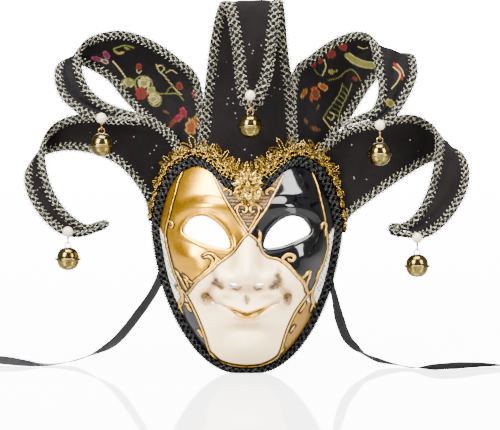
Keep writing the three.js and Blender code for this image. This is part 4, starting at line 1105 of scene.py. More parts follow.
def addGimp(batch, middle, inward, out, gimp, closed=False):
    along = lengthAlong(middle)
    turns = max(1, round(along[-1] / gimp["period"])) / along[-1]
    half, core = gimp["width"] / 2 - plait["edge"], gimp["core"] / 2
    flat, side = half * plait["bevel"], 0.5 * core
    section = [(-half, -side), (-flat, -core), (flat, -core), (half, -side), (half, side), (flat, core),
               (0, core * plait["crown"]), (-flat, core), (-half, side)]
    grid = np.stack([middle + inward * w + out * t for w, t in section], 1)
    addGrid(batch, grid, closed=True, slot=1)
    if not closed:
        for end in (0, -1):
            addGrid(batch, np.stack((grid[end, :5], grid[end, [8, 8, 7, 6, 5]])), slot=1, flip=end == 0)
    for side in gimp["sides"]:
        for k in range(gimp["strands"]):
            phase = fullTurn * (along * turns + k / gimp["strands"])
            wave = 2 / math.pi * np.arcsin(plait["straight"] * np.sin(phase))
            lift = core + gimp["rise"] * (0.5 + 0.5 * np.cos(phase * (gimp["strands"] - 1)))
            points = middle + inward * (wave * gimp["reach"])[:, None] + out * (side * lift)[:, None]
            thick = gimp["strand"] * (1 + plait["uneven"] * math.sin(k * 2.3))  # no two strands quite alike
            slot = 0 if k % gimp["second"] else 2
            addCord(batch, points, out * side, thick, sides=4, slot=slot, start=k * plait["stagger"])
    loops = max(1, round(along[-1] / gimp["loopPitch"]))
    count = loops * gimp["loopSteps"] + 1
    fine = resample(np.concatenate((middle, inward, out), 1), count=count)
    turn = fullTurn * np.arange(count)[:, None] / gimp["loopSteps"]
    for side in (1, -1):
        swell = np.sin(np.arange(count) * plait["loopRun"] + side)[:, None] ** 2
        reach = gimp["loop"] * (plait["loopLeast"] + plait["loopMore"] * swell)
        aside = fine[:, 3:6] * side * (half + plait["loopOut"] + reach * np.cos(turn))
        above = fine[:, 6:] * (gimp["loopRise"] + plait["loopTall"] * reach * np.sin(turn))
        addCord(batch, fine[:, :3] + (aside + above), fine[:, 6:], gimp["loopCord"], sides=4)


# Points a given distance in from the rim, measured along the face.
def insetPoints(along, distance):
    rim = rimPoint(along)
    share = np.linspace(*faceGimp["search"])
    x, z = share[:, None] * rim[:, 0], mix(face["middle"], rim[:, 1], share[:, None])
    steps = np.linalg.norm(np.diff(facePoint(x, z), axis=0), axis=2)
    walked = np.concatenate((np.zeros((1, len(along))), np.cumsum(steps, 0)))
    found = np.array([np.interp(distance, walked[:, j], share) for j in range(len(along))])
    return found * rim[:, 0], mix(face["middle"], rim[:, 1], found)


def makeFaceBraid():
    along = np.arange(faceGimp["steps"] + 1) / faceGimp["steps"]
    x, z = insetPoints(along, faceGimp["inset"])
    normal, start = faceNormal(x, z), facePoint(x, z)
    out = unit(mix(normal, np.array((0.0, -1.0, 0.0)), faceGimp["turn"]))  # pulled round to face forwards
    inward = facePoint(*insetPoints(along, faceGimp["inset"] + faceGimp["inStep"])) - start
    inward = unit(inward - out * np.sum(inward * out, 1, keepdims=True))
    path = np.concatenate((start + normal * faceGimp["lift"], inward, out), 1)
    even = resample(path, step=faceGimp["step"])
    inward = unit(even[:, 3:6])
    narrow = mix(1.0, faceGimp["chinWidth"], 1 - smoothStep(even[:, 2], *faceGimp["chin"]))[:, None]
    middle = even[:, :3] - inward * (1 - narrow) * (faceGimp["width"] / 2 - plait["edge"])
    batch = newBatch()
    addGimp(batch, middle, inward * narrow, unit(even[:, 6:]), faceGimp, closed=True)
    makeObject("faceBraid", batch, [finishes["blackBraid"], finishes["blackCore"], finishes["blackGlint"]],
               replaces=["face_braid"])
    print("face braid done")


makeFaceBraid()

# Gold lace: two looped base rows with a dark backing sheet behind them as painted shade in the gaps, and a
# row of fans, temple to temple.
lace = {"inset": 1.2, "behind": 0.95, "start": 0.79, "end": 0.226, "slopeStep": 0.002, "cord": 0.5,
        "lineCord": 0.55, "loopSteps": 8, "loopSway": 0.42, "loopDepth": 0.25, "rowOut": 0.2, "lineRun": 1.9,
        "lineOut": 0.3, "lineDepth": 0.2, "backingSteps": 420, "tape": (-1.5, 3.0, 7.4), "backingDepth": 0.9,
        "backingThick": 0.3}
fans = {"count": 27, "low": 9.5, "high": 20.5, "rise": (0.25, 0.95), "odd": 1.03, "even": 0.86,
        "uneven": 0.05, "petals": (-50, -25, 0, 25, 50), "sway": 4.0, "wide": 1.45, "foot": 4.2, "below": 4.0,
        "steps": 19, "sideShort": 0.3, "sideLean": 1.1, "crowded": 8.5, "knot": 1.35, "knotHigh": 4.6,
        "knotOut": -0.7, "knotShape": (1.2, 0.7, 1.0), "over": 0.35, "bow": 0.4, "waist": 0.35,
        "straight": 0.62}
laceRows = [(1.7, 1.6, 4.4, 0.0), (4.9, 1.6, 4.8, 1.4)]  # height, reach, pitch and phase of each row of loops
laceLines = [(0.2, 0.2), (3.3, 0.4), (6.7, 0.3)]  # height and wave of each cord that runs along
laceShare = lace["end"] + 1 - lace["start"]  # of the rim's length
laceLength = laceShare * rimLength[-1]
forwards = (0, -1, 0)


def lacePoint(place, distance, depth):
    along = lace["start"] + laceShare * place
    rim = rimPoint(along)
    run = unit(rimPoint(along + lace["slopeStep"]) - rim)
    outward = np.stack((-run[:, 1], np.zeros(len(run)), run[:, 0]), -1)
    point = facePoint(rim[:, 0], rim[:, 1]) + outward * (lace["inset"] + distance)[:, None]
    point[:, 1] += lace["behind"] + depth
    return point


def addLaceBand(batch):
    for row, (low, reach, pitch, phase) in enumerate(laceRows):
        loop = np.arange(int(laceLength / pitch) * lace["loopSteps"]) / lace["loopSteps"]
        turn = fullTurn * loop + phase
        place = np.clip((loop * pitch + lace["loopSway"] * pitch * np.cos(turn)) / laceLength, 0, 1)
        depth = lace["loopDepth"] * np.cos(turn) - lace["rowOut"] * row
        points = lacePoint(place, low + reach * np.sin(turn), depth)
        addCord(batch, points, forwards, lace["cord"], sides=4, slot=row % 2)
    # a dark backing sheet behind the loops: painted shade in the gaps of the lace
    place = np.linspace(0, 1, lace["backingSteps"])
    level = np.ones(len(place))
    tape = np.stack([lacePoint(place, level * high, level * lace["backingDepth"]) for high in lace["tape"]], 1)
    addGrid(batch, tape, slot=2)
    addGrid(batch, tape + (0, lace["backingThick"], 0), slot=2, flip=True)
    for low, wave in laceLines:
        turn = place * laceLength * lace["lineRun"]
        depth = lace["lineDepth"] * np.cos(turn) - lace["lineOut"]
        points = lacePoint(place, low + wave * np.sin(turn), depth)
        addCord(batch, points, forwards, lace["lineCord"], sides=4)


# A fan of looped petals; the small sines keep any two from being quite alike.
def addFan(batch, fan):
    middle, squeeze = (fan + 0.5) / fans["count"], min(1.0, laceLength / fans["count"] / fans["crowded"])
    tall = mix(fans["low"], fans["high"], smoothStep(math.sin(math.pi * middle), *fans["rise"]))
    tall = tall * fans["odd" if fan % 2 else "even"] * (1 + fans["uneven"] * math.sin(fan * 2.7))
    turn = np.linspace(0, fullTurn, fans["steps"])
    share = 0.5 * (1 - np.cos(turn))  # how far along a petal
    for k, lean in enumerate(fans["petals"]):
        lean = math.radians(lean + fans["sway"] * math.sin(fan * 3.1 + k))
        shorter = 1 - fans["sideShort"] * (abs(lean) / fans["sideLean"]) ** 2
        reach = (tall - fans["below"]) * shorter * (1 + fans["uneven"] * math.sin(fan * 5 + k * 2))
        wide = fans["wide"] * (0.75 + 0.25 * reach / 15)  # long petals are wider
        side = wide * np.sin(turn) * mix(fans["waist"], 1, share)
        sweep = lean * mix(fans["straight"], 1, share)
        across = np.sin(sweep) * share * reach * squeeze + np.cos(sweep) * side
        high = fans["foot"] + np.cos(sweep) * share * reach - np.sin(sweep) * side
        depth = -fans["over"] * (k % 2) - fans["bow"] * np.sin(math.pi * share)
        points = lacePoint(middle + across / laceLength, high, depth)
        addCord(batch, points, forwards, lace["cord"], sides=4, slot=k % 2)
    knot = lacePoint(np.array([middle]), np.array([fans["knotHigh"]]), np.array([fans["knotOut"]]))[0]
    addBall(batch, knot, fans["knot"], sides=8, rings=6, scale=fans["knotShape"])


def makeLace():
    batch = newBatch()
    addLaceBand(batch)
    for fan in range(fans["count"]):
        addFan(batch, fan)
    makeObject("goldLace", batch, [finishes["lace"], finishes["laceDark"], finishes["laceShadeBacking"]],
               replaces=["gold_lace"])
    print("lace done, length", round(float(laceLength)), "mm")


makeLace()

# The gilt cast ornament in the dip of the brow: leaves in rings, beads, side drops and a heart.
medallion = {"x": 1.2, "z": 46.0, "seat": 8.0, "over": 3.35, "across": 13.6, "up": 16.8,
             "scallops": 11, "plateSize": 0.86, "scallop": 0.1, "platePoints": 72}
leaf = {"thick": 1.1, "rise": 1.5, "steps": 9, "notches": 19, "notch": 0.14, "crease": 0.35,
        "creaseWide": 0.22, "curl": 0.9}
# the plate behind, from its middle to its edge: share of its reach, and how far it stands out
plateRings = [(0, 3.2), (0.35, 3.0), (0.7, 2.4), (0.93, 1.9), (1.0, 1.2), (1.0, 0.0)]
sideDrop = {"across": 9.4, "out": 3.4, "up": -5.2, "size": (2.3, 1.9, 4.0)}
dropBeads = {"count": 6, "across": 6.0, "sway": 0.9, "out": 3.2, "top": -3.5, "pitch": 2.1, "radius": 0.95}
heart = {"up": -8.0, "across": 5.0, "tall": 5.4, "out": 3.4, "rise": 3.8, "round": 1.5, "points": 48,
         "rings": 9, "beads": 13, "beadRing": (6.2, 6.6), "beadOut": 3.9, "bead": 0.85}
castBeads = [  # across, up, radius, how far it stands out
    (-0.6, 3.6, 3.3, 5.6), (-5.2, 3.4, 2.1, 4.6), (4.6, 3.8, 2.1, 4.6), (-2.9, 8.2, 1.7, 4.6),
    (2.2, 8.4, 1.7, 4.6), (-0.3, 11.8, 1.9, 4.2), (-6.8, 8.6, 1.5, 3.6), (6.4, 8.8, 1.5, 3.6),
    (-8.8, 0.6, 1.4, 3.8), (8.6, 0.8, 1.4, 3.8), (-3.6, -1.4, 1.5, 4.6), (3.0, -1.2, 1.5, 4.6),
]
castLeaves = [  # foot's share of the plate, direction, length, width, height, how far its foot stands out
    *[((0.34, 0.34), turn, 10.5, 4.6, 1.5, 2.0) for turn in (90, 62, 118, 34, 146, 8, 172, -22, 202)],
    *[((0.26, 0.24), turn, 8.0, 3.6, 1.4, 3.4) for turn in (76, 104, 48, 132, 20, 160, -8, 188)],
    *[((0.5, 0.5), turn, 6.5, 3.2, 1.2, 1.6) for turn in (-44, 224, -62, 242)],
]


# A leaf lying in the plane of the face, raised along its middle with a crease.
def addLeaf(batch, foot, direction, length, width, height):
    u, v = np.linspace(0, 1, leaf["steps"])[:, None], np.linspace(-1, 1, leaf["steps"])[None, :]
    outline = np.sin(math.pi * u**0.75) * 0.5 * width * (1 + leaf["notch"] * np.sin(u * leaf["notches"]))
    crease = 1 - leaf["crease"] * np.exp(-((v / leaf["creaseWide"]) ** 2))
    rise = height * np.sin(math.pi * np.clip(u, 0.02, 1) ** 0.6) * (1 - v**2) * crease + leaf["curl"] * u**2
    turn = math.radians(direction)
    x = u * length * math.cos(turn) - v * outline * math.sin(turn)
    z = u * length * math.sin(turn) + v * outline * math.cos(turn)
    points = np.stack((foot[0] + x, foot[1] - rise, foot[2] + z), -1)
    back = (0, leaf["thick"], 0)
    addGrid(batch, points)
    addGrid(batch, points + back, flip=True)
    edge = np.concatenate((points[:, 0], points[::-1, -1]))
    addGrid(batch, np.stack((edge, edge + back)))


def addPlate(batch, middle):
    turn = np.linspace(0, fullTurn, medallion["platePoints"] + 1)[:-1]
    wave = np.cos(medallion["scallops"] * (turn - math.pi / 2))
    edge = medallion["plateSize"] + medallion["scallop"] * wave
    x, z = edge * medallion["across"] * np.cos(turn), edge * medallion["up"] * np.sin(turn)
    rings = [np.stack((reach * x, np.full(len(turn), -out), reach * z), -1) for reach, out in plateRings]
    addGrid(batch, middle + np.stack(rings), closed=True, flip=True)


def addHeart(batch, middle):
    turn = np.linspace(0, fullTurn, heart["points"] + 1)[:-1]
    up = 13 * np.cos(turn) - 5 * np.cos(2 * turn) - 2 * np.cos(3 * turn) - np.cos(4 * turn)
    outline = np.stack((16 * np.sin(turn) ** 3, up), -1) / 16
    rise = np.linspace(0, heart["round"], heart["rings"])[:, None]
    out = np.broadcast_to(-heart["out"] - heart["rise"] * np.sin(rise), (heart["rings"], heart["points"]))
    x = np.cos(rise) * outline[:, 0] * heart["across"]
    z = np.cos(rise) * outline[:, 1] * heart["tall"] + heart["up"]
    addGrid(batch, middle + np.stack((x, out, z), -1), closed=True)
    for k in range(heart["beads"]):
        x, z = outline[int(k * heart["points"] / heart["beads"])] * heart["beadRing"]
        addBall(batch, middle + (x, -heart["beadOut"], z + heart["up"]), heart["bead"], sides=8, rings=6)


def makeMedallion():
    seat = faceDepth(np.array(0.0), np.array(medallion["z"] - medallion["seat"]))
    middle = np.array((medallion["x"], float(seat) - medallion["over"], medallion["z"]))
    batch = newBatch()
    addPlate(batch, middle)
    for share, direction, length, width, height, stand in castLeaves:
        turn = math.radians(direction)
        x, z = (part * size for part, size in zip(share, (medallion["across"], medallion["up"])))
        foot = middle + (x * math.cos(turn), -stand, leaf["rise"] + z * math.sin(turn))
        addLeaf(batch, foot, direction, length, width, height)
    for x, z, radius, stand in castBeads:
        addBall(batch, middle + (x, -stand, z), radius, sides=14, rings=10)
    for side in (-1, 1):
        spot = (side * sideDrop["across"], -sideDrop["out"], sideDrop["up"])
        addBall(batch, middle + spot, 1.0, sides=14, rings=10, scale=sideDrop["size"])
        for k in range(dropBeads["count"]):
            across = dropBeads["across"] + dropBeads["sway"] * math.sin(k)
            spot = (side * across, -dropBeads["out"], dropBeads["top"] - dropBeads["pitch"] * k)
            addBall(batch, middle + spot, dropBeads["radius"], sides=8, rings=6)
    addHeart(batch, middle)
    makeObject("giltOrnament", batch, [finishes["gilt"]], replaces=["medallion"])
    print("medallion done")


makeMedallion()

# Woven motifs on the two brocade horns, in the picture's pixels: the part that stands, then the part
# that rolls over. A stem has its line and half width; a leaf or petal its place, half sizes and tilt.
threadTones = {
    "gold": tone(104, 84, 34), "pale": tone(128, 116, 70), "red": tone(86, 14, 20),
    "pink": tone(100, 34, 42), "purple": tone(58, 28, 58), "orange": tone(106, 46, 15),
    "green": tone(74, 76, 32), "brown": tone(62, 38, 18), "leafGreen": tone(88, 86, 48),
}
brocadeMotifs = {
    "upper_left": {
        "fold": 6.0,
        "stand": [
            ("petal", 129.0, 82.6, 6.0, 4.2, 20, "leafGreen", "pale"),
            ("petal", 144.4, 82.4, 6.4, 5.4, -10, "leafGreen", "pale"),
            ("petal", 154.6, 98.8, 6.2, 5.6, 40, "leafGreen", "pale"),
            ("petal", 151.4, 90.4, 4.6, 3.8, 10, "leafGreen", "pale"),
            ("petal", 106.5, 55.3, 4.8, 3.0, 58, "purple", "pink"),
            ("petal", 96.8, 59.0, 5.8, 2.4, 14, "purple", "pink"),
            ("petal", 105.0, 61.5, 4.2, 2.0, 20, "purple", "pale"),
            ("stem", [(113.7, 48.7), (118.7, 47), (125.3, 45.3), (133.7, 47.8)], 0.9, "green"),
            ("leaf", 116, 52, 4.2, 1.6, 40, "green"), ("leaf", 121, 53, 4.6, 1.6, -15, "gold"),
            ("leaf", 127, 48.5, 4.0, 1.4, 25, "green"),
            ("stem", [(112.8, 61.2), (118.7, 67.8), (125.3, 77)], 0.9, "pale"),
            ("petal", 138.7, 66.7, 3.4, 3.0, 90, "red", "brown"),
            ("stem", [(136.4, 70), (138.6, 73.4), (141.4, 70.6)], 0.6, "pale"),
            ("petal", 141.2, 93.7, 6.6, 5.6, 70, "brown", "red"),
            ("stem", [(138, 90), (139.4, 94), (140.4, 99)], 0.6, "red"),
            ("stem", [(142.4, 89.4), (142.8, 94), (142.4, 99)], 0.6, "red"),
            ("stem", [(136.2, 88.7), (135.3, 80.3), (142, 76.2), (150.3, 78.7), (152, 86.2), (147, 90.3)],
             1.0, "green"),
            ("stem", [(139.4, 86), (141, 81), (146, 80.6), (148, 84.4), (144.6, 86.4)], 0.7, "pale"),
            ("stem", [(135.3, 86.2), (132, 79.5), (125.3, 78.7), (121.7, 82), (125.3, 87), (130.3, 85.3)],
             1.0, "green"),
            ("stem",
             [(147.8, 93.7), (155.3, 92), (161.2, 98.7), (158.7, 105.3), (152, 105.3), (148.7, 100.3)], 1.0,
             "green"),
            ("stem", [(151, 97), (155.4, 96.4), (157, 100), (153.6, 101.8)], 0.7, "pale"),
            ("leaf", 136, 104, 5.0, 1.8, 60, "green"),
            ("stem", [(156.2, 64.5), (158.7, 70.3), (165.3, 77), (172, 85.3), (176.2, 90.3), (181.2, 94.5)],
             0.8, "pale"),
            ("stem", [(158, 66), (162, 65.4), (164.4, 69), (161.6, 71.6)], 0.7, "pale"),
            ("stem", [(166, 73), (171, 70), (177, 73.4)], 0.7, "pale"),
            ("stem", [(158.7, 93.7), (168.7, 93.7), (177, 93.7), (183.7, 100.3)], 0.8, "green"),
            ("stem", [(166, 93.6), (169.6, 88), (174, 86)], 0.7, "green"),
            ("petal", 179.5, 86.2, 4.4, 3.4, 70, "red", "brown"),
            ("petal", 196.2, 94.5, 4.6, 4.0, 40, "red", "pink"),
            ("petal", 183.4, 112.6, 5.6, 3.4, 70, "red", "pink"),
            ("petal", 177.6, 118.4, 5.6, 3.2, -35, "red", "pink"),
            ("petal", 172, 123, 5.0, 2.4, -60, "brown", "red"), ("leaf", 166, 112, 4.4, 1.6, 30, "brown"),
            ("petal", 191, 127, 8.6, 5.4, 100, "orange", "gold"),
            ("petal", 197, 121, 6.0, 3.6, 80, "orange", "gold"),
        ],
        "roll": [("stem", [(74, 62), (80, 72), (86, 86)], 0.7, "brown"),
                 ("leaf", 88, 92, 4.0, 1.3, 50, "brown")],
    },
    "upper_right": {
        "fold": 6.5,
        "stand": [
            ("petal", 343.3, 47, 4.4, 3.8, 20, "red", "brown"),
            ("petal", 331.3, 54.2, 5.0, 4.0, -30, "red", "brown"),
            ("petal", 320.8, 60.7, 3.4, 2.6, -40, "red", "brown"),
            ("petal", 313.7, 65.3, 2.8, 2.4, 0, "red", "brown"),
            ("stem", [(324.2, 59.5), (325.8, 67), (322.5, 75.3)], 0.8, "pale"),
            ("stem", [(314, 69), (318, 74), (323, 76)], 0.7, "green"),
            ("stem", [(347, 55.5), (354, 60), (363, 64), (373, 65.5)], 3.6, "green"),
            ("stem", [(349, 53), (356, 57.4), (364, 61), (373.4, 62.4)], 0.6, "pale"),
            ("stem", [(345.6, 57), (352, 62.6), (362, 67), (373, 68.4)], 0.6, "pale"),
            ("stem", [(358, 46.6), (363, 48.6), (367.6, 47.6)], 0.7, "pale"),
            ("petal", 304.2, 92.8, 5.6, 2.6, -60, "orange", "gold"),
            ("petal", 315.4, 93.7, 7.0, 4.4, 75, "brown", "orange"),
            ("petal", 323.3, 87, 5.6, 3.2, 30, "orange", "gold"),
            ("leaf", 311, 98.4, 4.4, 1.2, 70, "orange"),
            ("petal", 331.7, 72, 3.4, 2.4, 20, "green", "gold"), ("leaf", 336, 71, 3.0, 1.2, -30, "green"),
            ("stem", [(328.3, 80.3), (340, 77), (345, 72), (351.7, 69.5), (356.7, 73.7), (360.8, 81.2)],
             0.8, "green"),
            ("petal", 355, 78.7, 3.2, 2.2, 30, "red", "brown"),
            ("stem", [(342.5, 83.7), (340, 92), (335, 100.3), (328.3, 110.3), (323.3, 118.7)], 0.8,
             "green"),
            ("stem", [(351.7, 83.7), (348.3, 93.7), (343.3, 103.7), (340, 112), (336.7, 128.7)], 0.8,
             "green"),
            *[("stem", [(343 - 2.1 * k, 86 + 4.4 * k), (346 - 2.0 * k, 88.6 + 4.2 * k),
                        (348.6 - 1.8 * k, 92 + 4.0 * k)], 0.6, "green") for k in range(7)],
            ("stem", [(323.3, 118.7), (327, 124), (333, 131)], 0.8, "pale"),
            ("stem", [(330, 112), (334, 115), (331.6, 120), (327.6, 117)], 0.7, "pale"),
            ("leaf", 315, 128.7, 7.0, 2.8, 20, "brown"), ("leaf", 306, 121, 5.0, 1.6, 50, "brown"),
            ("leaf", 318, 107, 4.0, 1.2, -65, "brown"),
        ],
        "roll": [("stem", [(394.2, 63.7), (399.2, 70.3), (401.7, 78.7)], 2.0, "red"),
                 ("stem", [(393.3, 67), (400, 73.7), (398.3, 80.3), (391.7, 88.7)], 0.8, "pale"),
                 ("stem", [(397, 64), (402, 70), (404, 76)], 0.7, "pale"),
                 ("petal", 390, 103, 5.0, 3.6, 40, "green", "gold"),
                 ("leaf", 384, 94, 3.4, 1.4, 70, "brown")],
    },
}
# where a motif's edge fades, as shares of its half size, and how its light falls
motif = {"stemCore": 0.45, "leafCore": 0.75, "vein": (0.1, 0.35), "veinLight": 0.55, "petal": (-1.08, -0.92),
         "petalLight": 0.6, "rim": (0.6, 0.85), "frill": 0.12, "frills": 9, "cover": (0.02, 0.3)}


# How much of a motif shows at spots in the picture, and its colour.
def drawMotif(kind, values, spots):
    if kind == "stem":
        line, width, name = values
        away = segmentDistance(spots, smoothCurve(line, each=5))
        return smoothStep(-away, -width, -motif["stemCore"] * width), np.array(threadTones[name][:3])
    x, y, length, width, tilt, *names = values
    across, down, tilt = spots[..., 0] - x, spots[..., 1] - y, math.radians(tilt)
    u = (across * math.cos(tilt) + down * math.sin(tilt)) / length
    v = (down * math.cos(tilt) - across * math.sin(tilt)) / width
    tones = [np.array(threadTones[name][:3]) for name in names]
    if kind == "leaf":
        vein = mix(motif["veinLight"], 1, smoothStep(np.abs(v), *motif["vein"]))
        return smoothStep(-np.abs(v) - u * u, -1.0, -motif["leafCore"]) * vein, tones[0]
    # a petal, outlined in its second colour
    edge = np.sqrt(u * u + v * v) * (1 + motif["frill"] * np.sin(motif["frills"] * u))
    rim = smoothStep(edge, *motif["rim"])
    return smoothStep(-edge, *motif["petal"]) * mix(motif["petalLight"], 1, rim), mix(*tones, rim[..., None])


def motifColors(name, points, places):
    spots = pictureSpot(points)
    shown = np.zeros(spots.shape[:-1])
    color = np.zeros(shown.shape + (3,))
    stands = (places < brocadeMotifs[name]["fold"])[:, None]
    for part, here in (("stand", stands), ("roll", ~stands)):
        for kind, *values in brocadeMotifs[name][part]:
            share, thread = drawMotif(kind, values, spots)
            share = share * here
            color = mix(color, thread, smoothStep(share, *motif["cover"])[..., None])
            shown = np.maximum(shown * (1 - share), share)
    return color, shown


# Horns: a row for each line across the band, with edge a, edge b and how far the cloth's middle
# stands off.
hornRows = {
    "center": [
        (-45, -13.7, 73, 45, -13.7, 73, 0, -24.4, -17), (-38.5, -10, 89, 41.2, -10, 89, 0, -15, -2),
        (-35.3, -9, 127.5, 38.9, -9, 126.5, 0, -8, 0), (-30.3, -7, 169.5, 33.4, -7, 169.5, 0, -4, 0),
        (-25.4, -9, 195.5, 31, -9, 197.5, 0, -1, 0), (-20, -21, 210.6, 28.3, -21, 211.6, 0, 0, 2),
        (-13.6, -33.6, 204.6, 25.4, -33.6, 205.1, 0, -2, 0), (-7.8, -40, 171, 21.2, -40, 171, 0, -2, 0),
        (-5, -42, 142, 17.2, -42, 146, 0, -1, 0), (-2.6, -41, 126, 10.5, -41, 128, 0, 0, 0),
    ],
    "upper_left": [
        (-40, -6, 80, -66, 1.5, 69, 0, 0, 0), (-46, 4, 136.8, -84, 7.5, 97.5, 0, 2, 0),
        (-66, 6, 158.6, -101, 8, 113.5, 0, 3, 0), (-90, 6, 174.2, -112, 7, 125.5, 0, 3, 0),
        (-115, 4, 182, -123, 4, 139.5, 0, 2, 0), (-136, -2, 179, -137, 2, 150, 0, 1, 0),
        (-148, -7.5, 173, -155.5, 0, 158, 0, 0, 0), (-154, -15.5, 163.5, -168, -12, 156.5, 0, 0, 0),
        (-152.5, -24, 151.5, -171, -25, 145, 0, 0, 0), (-145.5, -30, 134, -165.5, -31, 128, 0, 0, 0),
        (-132.5, -33, 121.5, -149, -34, 114, 0, 0, 0), (-116, -33, 114, -128, -38, 107, 0, 0, 0),
        (-102, -31, 110.5, -103, -42, 105.5, 0, 0, 0),
    ],
    "lower_left": [
        (-61, -4, 66, -87, 1.4, 12, -5, 1, 2), (-68, -3, 86, -91, 2, 31, -2, 0, 1),
        (-86, -1, 100.5, -103, 2, 50.5, 0, 0, 0), (-109, 0, 106.5, -118, 1, 65.5, 0, 1, 0),
        (-135, 1, 106, -138, 2, 74.5, 0, 2, 0), (-158, -1, 105, -160, 2, 78.5, 0, 1, 0),
        (-175, -5, 98, -178, -1, 77, 0, 0, 0), (-184.5, -12, 86.5, -190.5, -7.5, 72, 0, 0, 0),
        (-187, -18.5, 75, -198, -17.5, 62, 0, 0, 0), (-185.5, -25, 60.5, -199.3, -26, 51.5, 0, 0, 0),
        (-179.5, -30, 42, -195.2, -31, 37, 0, 0, 0), (-169.5, -33, 25.5, -185.5, -34, 21.5, 0, 0, 0),
        (-157.5, -33, 13.5, -169, -37, 6.5, 0, 0, 0), (-146, -31, 8, -151, -41, 3, 0, 0, 0),
        (-133.5, -29.3, 11.6, -134, -40.6, 8.2, 0, 0, 0),
    ],
    "upper_right": [
        (38, -6.8, 80, 66, 1.3, 69, 0, 0, 0), (44, 4, 143, 82, 7.5, 94.5, 0, 2, 0),
        (60, 6, 160, 93.5, 8, 108, 0, 3, 0), (78, 6, 173, 102, 7, 121.5, 0, 3, 0),
        (96, 4, 180.5, 111.3, 4, 136, 0, 2, 0), (108, -1, 180.5, 121.8, 1, 148.5, 0, 1, 0),
        (114.5, -7, 177, 136, -3, 159.2, 0, 0, 0), (117, -15, 171, 148.5, -13, 163, 0, 0, 0),
        (118.5, -22, 162.5, 151, -23, 153.5, 0, 0, 0), (121, -28, 145.5, 149.8, -29, 143.5, 0, 0, 0),
        (121.6, -31, 129.5, 143.7, -32, 129.5, 0, 0, 0), (116.3, -33, 115, 134.7, -34, 114.5, 0, 0, 0),
        (107.5, -33, 109.5, 122, -37, 103, 0, 0, 0), (95, -31, 105, 96.5, -42, 100, 0, 0, 0),
    ],
    "lower_right": [
        (61, -4, 66, 88, 1.4, 8, 6, 1, 2), (74, -3, 81, 95, 2, 18.5, 2, 0, 1),
        (92, -1, 93.5, 112, 2, 31.5, 0, 0, 0), (112, 0, 99.8, 128, 1, 43.3, 0, 1, 0),
        (134, 1, 103.8, 146, 2, 55.2, 0, 2, 0), (153, -1, 105, 163, 1, 65.5, 0, 1, 0),
        (167.5, -5.5, 98, 179.5, -4, 72, 0, 0, 0), (175, -11, 90, 191.5, -10, 75.5, 0, 0, 0),
        (176, -18, 80.5, 197.5, -19, 67.5, 0, 0, 0), (173.5, -25, 67, 199, -26, 55, 0, 0, 0),
        (168.5, -30, 45.5, 196, -31, 41.5, 0, 0, 0), (160.5, -33, 26.8, 187, -33, 24.8, 0, 0, 0),
        (150.5, -34, 14, 173.5, -34, 9.5, 0, 0, 0), (141, -32, 8.5, 157.5, -38, 1.5, 0, 0, 0),
        (135.5, -30.4, 9.6, 139.5, -40.5, 3.4, 0, 0, 0),
    ],
}
hornCloth = {"thick": 1.2, "under": 1.5, "bare": 0.9, "leastWidth": 1.2, "ripple": 0.5, "rippleAcross": 9.0,
             "rippleAlong": 1.9, "hem": (1.06, 1.03),
             "velvet": (10, 20), "brocade": (28, 48)}  # the last two: steps to a row, and columns
# the silver and black braid: plaited strands on both faces of a dark core, with small loops along both edges
gimp = {"width": 8.0, "core": 2.2, "strands": 4, "reach": 3.0, "period": 12.0, "strand": 0.62, "rise": 0.6,
        "step": 0.95, "loop": 1.0, "loopPitch": 4.4, "loopCord": 0.44, "loopSteps": 9, "loopRise": 0.0,
        "sides": (1, -1), "second": 2, "perRow": 12, "tipSteps": 16}
broadGimp = {**gimp, "width": 9.4, "reach": 3.6, "loop": 1.2}  # the centre horn's braid


def gimpOf(name):
    return broadGimp if name == "center" else gimp


def camel(name):
    first, *rest = name.split("_")
    return first + "".join(word.title() for word in rest)


# Three columns of the rows as a smooth curve, read at places between the rows.
def rowCurve(rows, first, places):
    table = np.array(rows, float)[:, first:first + 3]
    last = len(table) - 1
    i = np.minimum(np.floor(places).astype(int), last - 1)
    t = (places - i)[:, None]
    p, q, r, s = (table[np.clip(i + k, 0, last)] for k in (-1, 0, 1, 2))
    return q + 0.5 * t * (r - p + t * (2 * p - 5 * q + 4 * r - s + t * (3 * (q - r) + s - p)))


# One edge of a horn: its points, the way into the band and the way out of the surface.
def edgeFrame(rows, first, places):
    last, step = len(rows) - 1, 0.05
    here = rowCurve(rows, first, places)
    after = rowCurve(rows, first, np.minimum(places + step, last))
    run = unit(after - rowCurve(rows, first, np.maximum(places - step, 0)))
    inward = rowCurve(rows, 3 - first, places) - here
    inward = unit(inward - run * np.sum(inward * run, 1, keepdims=True))
    out = np.cross(inward, run) * (1 if first == 0 else -1)
    return here, inward, out


# The braid's path: up edge a, round the tip, and back down edge b.
def braidPath(rows):
    last = len(rows) - 1
    places = np.linspace(0, last, gimp["perRow"] * last + 1)
    a, b = edgeFrame(rows, 0, places), edgeFrame(rows, 3, places)
    across = b[0][-1] - a[0][-1]
    middle, radius = (a[0][-1] + b[0][-1]) / 2, np.linalg.norm(across) / 2
    across = across / (2 * radius)
    run = unit(np.cross(a[2][-1], across))
    turn = np.linspace(0, math.pi, gimp["tipSteps"])[1:-1, None]
    inward = across * np.cos(turn) - run * np.sin(turn)
    out = unit(mix(a[2][-1], b[2][-1], turn / math.pi))
    bend = middle - inward * radius, inward, out
    path = [np.concatenate((a[k], bend[k], b[k][::-1])) for k in range(3)]
    even = resample(np.concatenate(path, 1), step=gimp["step"])
    return even[:, :3], unit(even[:, 3:6]), unit(even[:, 6:])


def makeBraid(name, rows):
    batch = newBatch()
    addGimp(batch, *braidPath(rows), gimpOf(name))
    threads = [finishes["silverBraid"], finishes["braidCore"], finishes["greyBraid"]]
    makeObject(camel(name) + "Braid", batch, threads, replaces=["braid_" + name])


